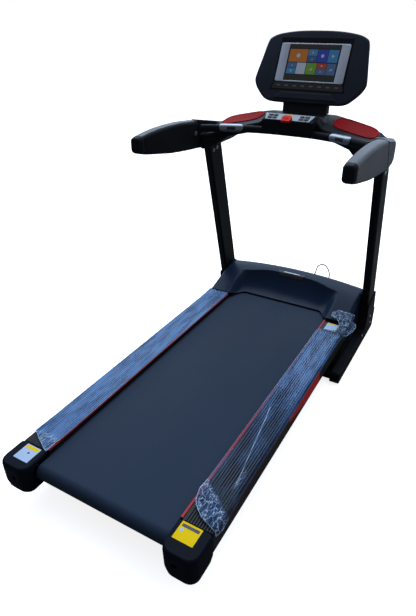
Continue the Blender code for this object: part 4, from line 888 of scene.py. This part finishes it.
def head_loft(name, section, crease=35):
    """A solid through the head's symmetric outline, drawn in by a margin at each depth."""
    full = [(-x, y) for x, y in reversed(HEAD_HALF_OUTLINE[1:])] + list(HEAD_HALF_OUTLINE)
    full = [(x, y, 0.0) for x, y in full[:-1]]
    route = smooth_route(full + full[:1], HEAD_POINTS + 1)[:-1]
    rings = []
    for inset, depth in section:
        wide, high = 1 - inset / HEAD_HALF[0], 1 - inset / HEAD_HALF[1]
        rings.append(placed([(p.x * wide, p.y * high) for p in route], depth, HEAD_PLACE))
    return lofted(name, rings, HEAD_SHELL, crease)


def head_plate(name, outline, low, high, material, slot="black_plastic", edge=0.0, place=HEAD_PLACE):
    on(plate(name, outline, low, high, material, place, edge), "base", slot)


def trapezoid(half_top, top, half_bottom, bottom):
    return [(-half_top, top), (half_top, top), (half_bottom, bottom), (-half_bottom, bottom)]


def make_head():
    front = head_loft("head_front_bezel", HEAD_FRONT_RINGS)
    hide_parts("display_front_shell")
    black(front)
    rear = head_loft("head_rear_shell", HEAD_REAR_RINGS, 50)
    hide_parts("display_rear_shell")
    black(rear)

    surround = [
        (-0.17, 0.112), (0.17, 0.112), (0.172, -0.09),
        (0.18, -0.124), (-0.18, -0.124), (-0.172, -0.09),
    ]
    head_plate("screen_surround", surround, 0.013, 0.0146, SHELL, edge=0.0012)
    head_plate("touch_strip", trapezoid(0.165, -0.09, 0.171, -0.119), 0.0144, 0.015, GLASS)
    for i in range(8):
        x = -0.14 + 0.04 * i
        pip = rectangle((x - 0.0085, -0.1065), (x + 0.0085, -0.1005), 0.0015, 3)
        head_plate(f"touch_icon_{i + 1}", pip, 0.0149, 0.0153, PANEL, "panel_grey")

    rings = []
    for wide, high, radius, depth in BEZEL_RINGS:
        rings.append(placed(rectangle((-wide, -high), (wide, high), radius), depth, HEAD_PLACE))
    faces = band_faces(len(rings), len(rings[0]), closed=True)
    bezel = add_mesh("screen_silver_frame", [p for ring in rings for p in ring], faces, FRAME_SILVER)
    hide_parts("display_screen")
    on(bezel, "base", "screen_frame")
    glass = rectangle((-0.124, -0.082), (0.124, 0.082), 0.002, 3)
    head_plate("screen_glass", glass, 0.0138, 0.0152, GLASS, "screen_frame")
    ledge = trapezoid(0.12, -0.134, 0.156, -0.163)
    head_plate("head_lower_ledge", ledge, 0.013, 0.0185, HEAD_SHELL, edge=0.003)
    # Painted shadow: a black strip just above the ledge, where its top edge throws shade.
    ledge_shadow = trapezoid(0.124, -0.13, 0.124, -0.1345)
    head_plate("head_ledge_painted_shadow", ledge_shadow, 0.013, 0.0139, GROOVE)


TILE_COLOURS = {
    "orange": (0.3, 0.1, 0.012), "blue": (0.035, 0.13, 0.27), "deep_blue": (0.02, 0.06, 0.17),
    "royal": (0.015, 0.03, 0.27), "teal": (0.02, 0.135, 0.29), "silver": (0.27, 0.31, 0.4),
    "green": (0.075, 0.2, 0.015), "rust": (0.25, 0.03, 0.02), "slate": (0.04, 0.085, 0.185),
    "bar": (0.01, 0.01, 0.009),
}
# Name, colour, then left, right, bottom and top as shares of the picture.
TILES = (
    ("wide", "orange", 0.03, 0.385, 0.52, 0.87),
    ("upper", "blue", 0.395, 0.57, 0.7, 0.87),
    ("lower", "deep_blue", 0.395, 0.57, 0.53, 0.69),
    ("royal", "royal", 0.58, 0.775, 0.53, 0.87),
    ("teal", "teal", 0.785, 0.97, 0.53, 0.87),
    ("left_top", "slate", 0.03, 0.205, 0.36, 0.5),
    ("left_low", "teal", 0.03, 0.205, 0.19, 0.35),
    ("silver", "silver", 0.215, 0.395, 0.19, 0.5),
    ("green", "green", 0.405, 0.6, 0.19, 0.5),
    ("rust", "rust", 0.61, 0.79, 0.36, 0.5),
    ("under", "slate", 0.61, 0.79, 0.19, 0.35),
    ("right", "slate", 0.8, 0.97, 0.19, 0.5),
    ("bar", "bar", 0.0, 1.0, 0.02, 0.15),
    ("top", "bar", 0.0, 1.0, 0.9, 0.985),
)
TILE_DEPTHS, MARK_DEPTHS, MARK_SHARE = (0.0151, 0.0154), (0.0153, 0.0156), 0.16


def tile_marks(kind, cx, cy, size):
    """A plain pictogram: a disc, a triangle or three bars."""
    if kind == 0:
        return [arc((cx, cy), size, 0, 330, 11)]
    if kind == 1:
        return [[(cx - size * 0.7, cy - size), (cx + size, cy), (cx - size * 0.7, cy + size)]]
    return [
        rectangle(
            (cx + size * (0.7 * k - 0.2), cy - size),
            (cx + size * (0.7 * k + 0.2), cy + size * (0.2 + 0.4 * k)),
        )
        for k in (-1, 0, 1)
    ]


def make_tiles():
    paints = {
        name: finish(f"tile_{name}", colour, tuple(0.85 * c for c in colour), 0.22, coat=0.5, emission=0.35)
        for name, colour in TILE_COLOURS.items()
    }
    half_x, half_y = GLASS_HALF
    for i, (name, colour, left, right, low, high) in enumerate(TILES):
        x0, x1 = -half_x + 2 * half_x * left, -half_x + 2 * half_x * right
        y0, y1 = -half_y + 2 * half_y * low, -half_y + 2 * half_y * high
        tile = rectangle((x0, y0), (x1, y1))
        head_plate(f"screen_tile_{name}", tile, *TILE_DEPTHS, paints[colour], "screen_frame")
        if colour == "bar":
            continue
        size = min(x1 - x0, y1 - y0) * MARK_SHARE
        for k, mark in enumerate(tile_marks(i % 3, (x0 + x1) / 2, (y0 + y1) / 2, size)):
            head_plate(f"screen_mark_{name}_{k + 1}", mark, *MARK_DEPTHS, paints["silver"], "screen_frame")


def make_head_back():
    """Bracket plate, sound slots and screws on the back of the head."""
    cover = rectangle((-0.11, -0.12), (0.11, -0.03), 0.012)
    head_plate("head_back_cover", cover, 0.049, 0.0525, SHELL, edge=0.0015, place=HEAD_BACK)
    for i in range(9):
        y = 0.02 + 0.009 * i
        slot = rectangle((-0.06, y), (0.06, y + 0.004), 0.0019, 4)
        head_plate(f"head_back_slot_{i + 1}", slot, 0.0495, 0.0507, GROOVE, place=HEAD_BACK)
    axis = (HEAD_BACK.to_3x3() @ UP).normalized()
    for i, (x, y) in enumerate(((-0.095, -0.107), (0.095, -0.107), (-0.095, -0.043), (0.095, -0.043))):
        at = HEAD_BACK @ Vector((x, y, 0.0525))
        on(button_head(f"head_back_screw_{i + 1}", at, axis, 0.0042, 0.0018), "base", "bright_steel")


make_head()
make_tiles()
make_head_back()

# ---- base, end caps and bolts
for word, side in SIDES:
    black(moulded(f"{word}_base_cover", SHELL, 0.0024, 3))
    black(moulded(f"{word}_end_cap", CAP, 0.0022, 3), "deck")

# Name, |X|, Y, Z, facing (1 outwards, -1 inwards), radius, height and finish.
BOLTS = (
    ("housing_bolt_1", 0.4008, 0.59, 0.958, -1, 0.0095, 0.005, STEEL),
    ("housing_bolt_2", 0.4008, 0.622, 0.964, -1, 0.0095, 0.005, STEEL),
    ("outer_bolt_1", 0.4402, 0.6, 0.95, 1, 0.0095, 0.005, STEEL),
    ("outer_bolt_2", 0.4402, 0.64, 0.958, 1, 0.0095, 0.005, STEEL),
    ("housing_plug", 0.4083, 0.432, 1.062, -1, 0.0105, 0.003, ARMREST),
    ("boot_screw_1", 0.4462, 0.7, 0.065, 1, 0.006, 0.003, STEEL),
    ("boot_screw_2", 0.4462, 0.83, 0.12, 1, 0.006, 0.003, STEEL),
    ("boot_screw_3", 0.4462, 0.86, 0.065, 1, 0.006, 0.003, STEEL),
)


def make_bolts():
    for word, side in SIDES:
        for name, x, y, z, facing, radius, height, material in BOLTS:
            at, axis = (side * x, y, z), (side * facing, 0, 0)
            bolt = button_head(f"{word}_{name}", at, axis, radius, height, material)
            on(bolt, "base", "bright_steel" if material is STEEL else "black_plastic")
        screw_at = (side * 0.33, -0.905, 0.146)
        screw = button_head(f"{word}_tension_screw", screw_at, (0, -1, 0), 0.0065, 0.006)
        on(screw, "deck", "bright_steel")


make_bolts()

# ---- stickers and decals
# Name, layer, finish, then a rectangle's low and high corners or a dot's centre and radius.
STICKERS = (
    ("left_cap_sticker", 0, PAPER, (-0.365, -0.899), (-0.299, -0.829)),
    ("left_cap_sticker_band", 1, YELLOW, (-0.361, -0.846), (-0.303, -0.832)),
    ("left_cap_sticker_dot", 1, INK, (-0.329, -0.862), 0.0045),
    ("right_cap_sticker", 0, YELLOW, (0.292, -0.89), (0.364, -0.825)),
    ("right_cap_sticker_bar", 1, INK, (0.298, -0.843), (0.358, -0.832)),
    ("right_cap_sticker_dot", 1, PAPER, (0.305, -0.853), 0.0065),
    ("rail_tag", 0, PAPER, (0.302, 0.455), (0.36, 0.525)),
    ("rail_tag_band", 1, YELLOW, (0.306, 0.509), (0.356, 0.521)),
    ("rail_tag_panel", 1, BLUE, (0.306, 0.46), (0.352, 0.504)),
)
STICKER_THICK, PRINT_THICK = 0.0004, 0.0003


def make_stickers():
    """Plain stickers on the end caps and the right rail, with a printed shape or two on each."""
    cap_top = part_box("left_end_cap")[1].z - 0.0002
    rail_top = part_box("right_foot_rail")[1].z + 0.0001
    for name, layer, paper, low, high in STICKERS:
        if isinstance(high, float):
            outline = arc(low, high, 0, 340, 17)
        else:
            outline = rectangle(low, high, 0.0 if layer else 0.002, 3)
        base = (rail_top if name.startswith("rail") else cap_top) + PRINT_THICK * layer
        thick = PRINT_THICK if layer else STICKER_THICK
        on(plate(name, outline, base, base + thick, paper, Matrix.Identity(4)), "deck")


def make_rail_trims():
    """The trim beside the belt: red on top, with painted shade in black on the lower side that faces the
    belt across the shadowed gap.
    """
    for word, _ in SIDES:
        low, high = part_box(f"{word}_rail_trim")
        outline = rectangle((low.x, low.z), (high.x, high.z), 0.0022, 5)
        rings = [[(x, y, z) for x, z in outline] for y in (low.y, low.y + 0.0005, high.y - 0.0005, high.y)]
        trim = lofted(f"{word}_belt_trim", rings, TRIM_RED, crease=60)
        # Painted shade: below the red top the trim is black, standing in for the shadow in the gap beside
        # the belt.
        red_above = high.z - 0.0045
        second_finish(trim, SHELL, lambda face: face.center.z < red_above)
        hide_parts(f"{word}_rail_trim")
        on(trim, "deck", "red_plastic")


def make_side_decals():
    """A tapering red flash and a thin red line along each rail's outer side."""
    low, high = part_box("right_foot_rail")
    flash = [
        (-0.215, 0.154), (0.04, low.z + 0.003), (0.15, low.z + 0.006),
        (0.135, 0.186), (0.02, 0.186), (-0.215, 0.176),
    ]
    line = rectangle((-0.8, 0.1655), (-0.215, 0.1675))
    decals = (("flash", flash, 0.0004, FLASH_RED), ("line", line, 0.0003, TRIM_RED))
    for word, side in SIDES:
        outer = side * (high.x + 0.0001)
        upright = Matrix(((0, 0, side, outer), (1, 0, 0, 0), (0, 1, 0, 0), (0, 0, 0, 1)))
        for name, outline, thick, red in decals:
            on(plate(f"{word}_side_{name}", outline, 0.0, thick, red, upright), "deck", "red_plastic")


make_stickers()
make_rail_trims()
make_side_decals()

# ---- packing film
# Y, share across at the inner edge and at the outer edge, lift, crumple, cover.
# The share runs from the red trim (0) over the rail's ribs to its outer side (1).
FILM_LEFT = (
    (-0.826, 0.0, 0.06, 0.0022, 0.003, 0.8), (-0.822, 0.0, 0.14, 0.0026, 0.0036, 0.8),
    (-0.8, 0.0, 0.48, 0.003, 0.004, 0.7), (-0.776, 0.0, 0.8, 0.0028, 0.0036, 0.7),
    (-0.762, 0.0, 1.0, 0.002, 0.0022, 0.9), (-0.7, 0.0, 1.0, 0.0014, 0.001, 0.95),
    (-0.2, 0.0, 1.0, 0.0013, 0.0008, 1.0), (0.3, 0.0, 1.0, 0.0013, 0.0008, 1.0),
    (0.49, 0.0, 1.0, 0.0016, 0.0018, 0.95), (0.548, 0.03, 0.94, 0.003, 0.005, 0.9),
)
FILM_RIGHT = (
    (-0.816, 0.97, 1.03, 0.003, 0.003, 0.3), (-0.806, 0.8, 1.03, 0.004, 0.006, 0.3),
    (-0.794, 0.49, 1.02, 0.005, 0.008, 0.3), (-0.77, 0.24, 1.0, 0.007, 0.01, 0.3),
    (-0.748, 0.08, 0.98, 0.008, 0.011, 0.3), (-0.7, 0.0, 0.96, 0.007, 0.01, 0.3),
    (-0.65, 0.0, 0.97, 0.0036, 0.004, 0.42), (-0.6, 0.0, 1.0, 0.0018, 0.0014, 0.42),
    (-0.35, 0.0, 1.0, 0.0014, 0.001, 0.5), (-0.12, 0.0, 1.0, 0.0013, 0.001, 0.72),
    (0.05, 0.0, 1.0, 0.0013, 0.0008, 0.9), (0.3, 0.0, 1.0, 0.0014, 0.001, 0.9),
    (0.42, 0.0, 1.0, 0.002, 0.0024, 0.8), (0.44, 0.06, 1.02, 0.003, 0.004, 0.5),
    (0.452, 0.66, 1.1, 0.006, 0.008, 0.35), (0.5, 0.7, 1.26, 0.013, 0.013, 0.3),
    (0.536, 0.52, 1.3, 0.018, 0.013, 0.3), (0.552, 0.24, 1.28, 0.022, 0.01, 0.3),
    (0.58, 0.2, 1.2, 0.03, 0.008, 0.3), (0.6, 0.42, 1.0, 0.037, 0.006, 0.3),
)
# A sharp crease across the right sheet, as |X| against Y.
FILM_CREASE = (
    (-0.64, 0.372), (-0.554, 0.361), (-0.502, 0.353), (-0.404, 0.339), (-0.274, 0.321), (-0.165, 0.303)
)
# The covered outline of a rail, as |X| and Z.
FILM_PATH = (
    (0.2775, 0.1982), (0.2872, 0.1976), (0.296, 0.1957), (0.388, 0.1957), (0.395, 0.192),
    (0.3965, 0.185),
)
FILM_ROWS, FILM_COLUMNS = 420, 84


def film_place(share):
    """A point at a share of the rail's covered outline, and its outward direction."""
    path = [Vector(p) for p in FILM_PATH]
    lengths = [(b - a).length for a, b in zip(path, path[1:])]
    want = share * sum(lengths)
    for a, b, length in zip(path, path[1:], lengths):
        if want <= length or b is path[-1]:
            along = (b - a).normalized()
            return a + along * want, Vector((-along.y, along.x))
        want -= length


def film_vein(side, x, y):
    """How crumpled the sheet is, which sets its painted white crease highlights: its bunched ends, and a
    frayed patch beside the crease.
    """
    if side < 0:
        return max(0.9 * eased(-0.742, -0.765, y), 0.6 * eased(0.52, 0.545, y))
    rear = eased(0.0, -0.022, y + 0.64 + 0.8 * (x - 0.28))
    frayed = 0.75 * eased(1.0, 0.3, math.hypot((x - 0.371) / 0.013, (y + 0.6) / 0.075))
    return max(rear, frayed, 0.9 * eased(0.425, 0.455, y))


def film_crease(side, x, y):
    """How sharply the sheet is creased, 0 to 1."""
    if side < 0 or not FILM_CREASE[0][0] < y < FILM_CREASE[-1][0]:
        return 0.0
    off = abs(x - reading(FILM_CREASE, y)[0])
    fade = eased(FILM_CREASE[-1][0], -0.24, y) * (0.6 + 0.4 * eased(-0.64, -0.55, y))
    return fade * eased(0.0024, 0.0005, off)


def make_film(word, side, table):
    start, end = table[0][0], table[-1][0]
    values = {"cover": [], "vein": [], "rim": []}

    def point_at(u, v):
        y = start + (end - start) * u
        inner, outer, lift, crumple, cover = reading(table, y)
        share = inner + (outer - inner) * v
        where, outward = film_place(min(share, 1.0))
        spill = max(0.0, share - 1.0)
        where = where + Vector((0.1 * spill, 0.03 * spill))
        vein = film_vein(side, where.x, y)
        crease = film_crease(side, where.x, y)
        streak = noise.noise(Vector((share * 26.0, y * 5.0, side * 3.0)))
        fold = noise.noise(Vector((share * 9.0 + y * 6.0, y * 22.0, 7.0 + side)))
        pleat = noise.noise(Vector((share * 30.0 - y * 30.0, y * 60.0, 11.0 + side)))
        rough = lift + 0.0006 * (1 + streak) + crumple * (0.55 + 0.6 * fold + 0.3 * pleat)
        stand = max(0.001, rough) + 0.0016 * crease
        out = where + outward * (min(stand, 0.012) if outward.x > 0.5 else stand)
        edge = min(v, 1 - v) * max(0.001, outer - inner) * 0.126
        edge = min(edge, 0.7 * (y - start), 0.7 * (end - y))
        values["cover"].append(cover)
        values["vein"].append(vein)
        # rim is where the film's colour gets a painted white highlight: the sharp crease and the sheet's
        # edges.
        values["rim"].append(max(crease, eased(0.0032, 0.0008, edge) * (0.35 + 0.65 * vein)))
        ragged = 0.004 * noise.noise(Vector((v * 14.0, u * 3.0, 5.0)))
        return (side * out.x, y + ragged * (1 if u in (0.0, 1.0) else 0.3), out.y)

    points, faces = grid(point_at, FILM_ROWS, FILM_COLUMNS)
    data = bpy.data.meshes.new(f"{word}_rail_film")
    data.from_pydata(points, [], faces)
    data.materials.append(FILM)
    data.shade_smooth()
    for key, numbers in values.items():
        data.attributes.new(key, "FLOAT", "POINT").data.foreach_set("value", numbers)
    film = add_object(f"{word}_rail_film", data, LOOKS)
    on(film, "deck")
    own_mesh(film)


make_film("left", -1, FILM_LEFT)
make_film("right", 1, FILM_RIGHT)
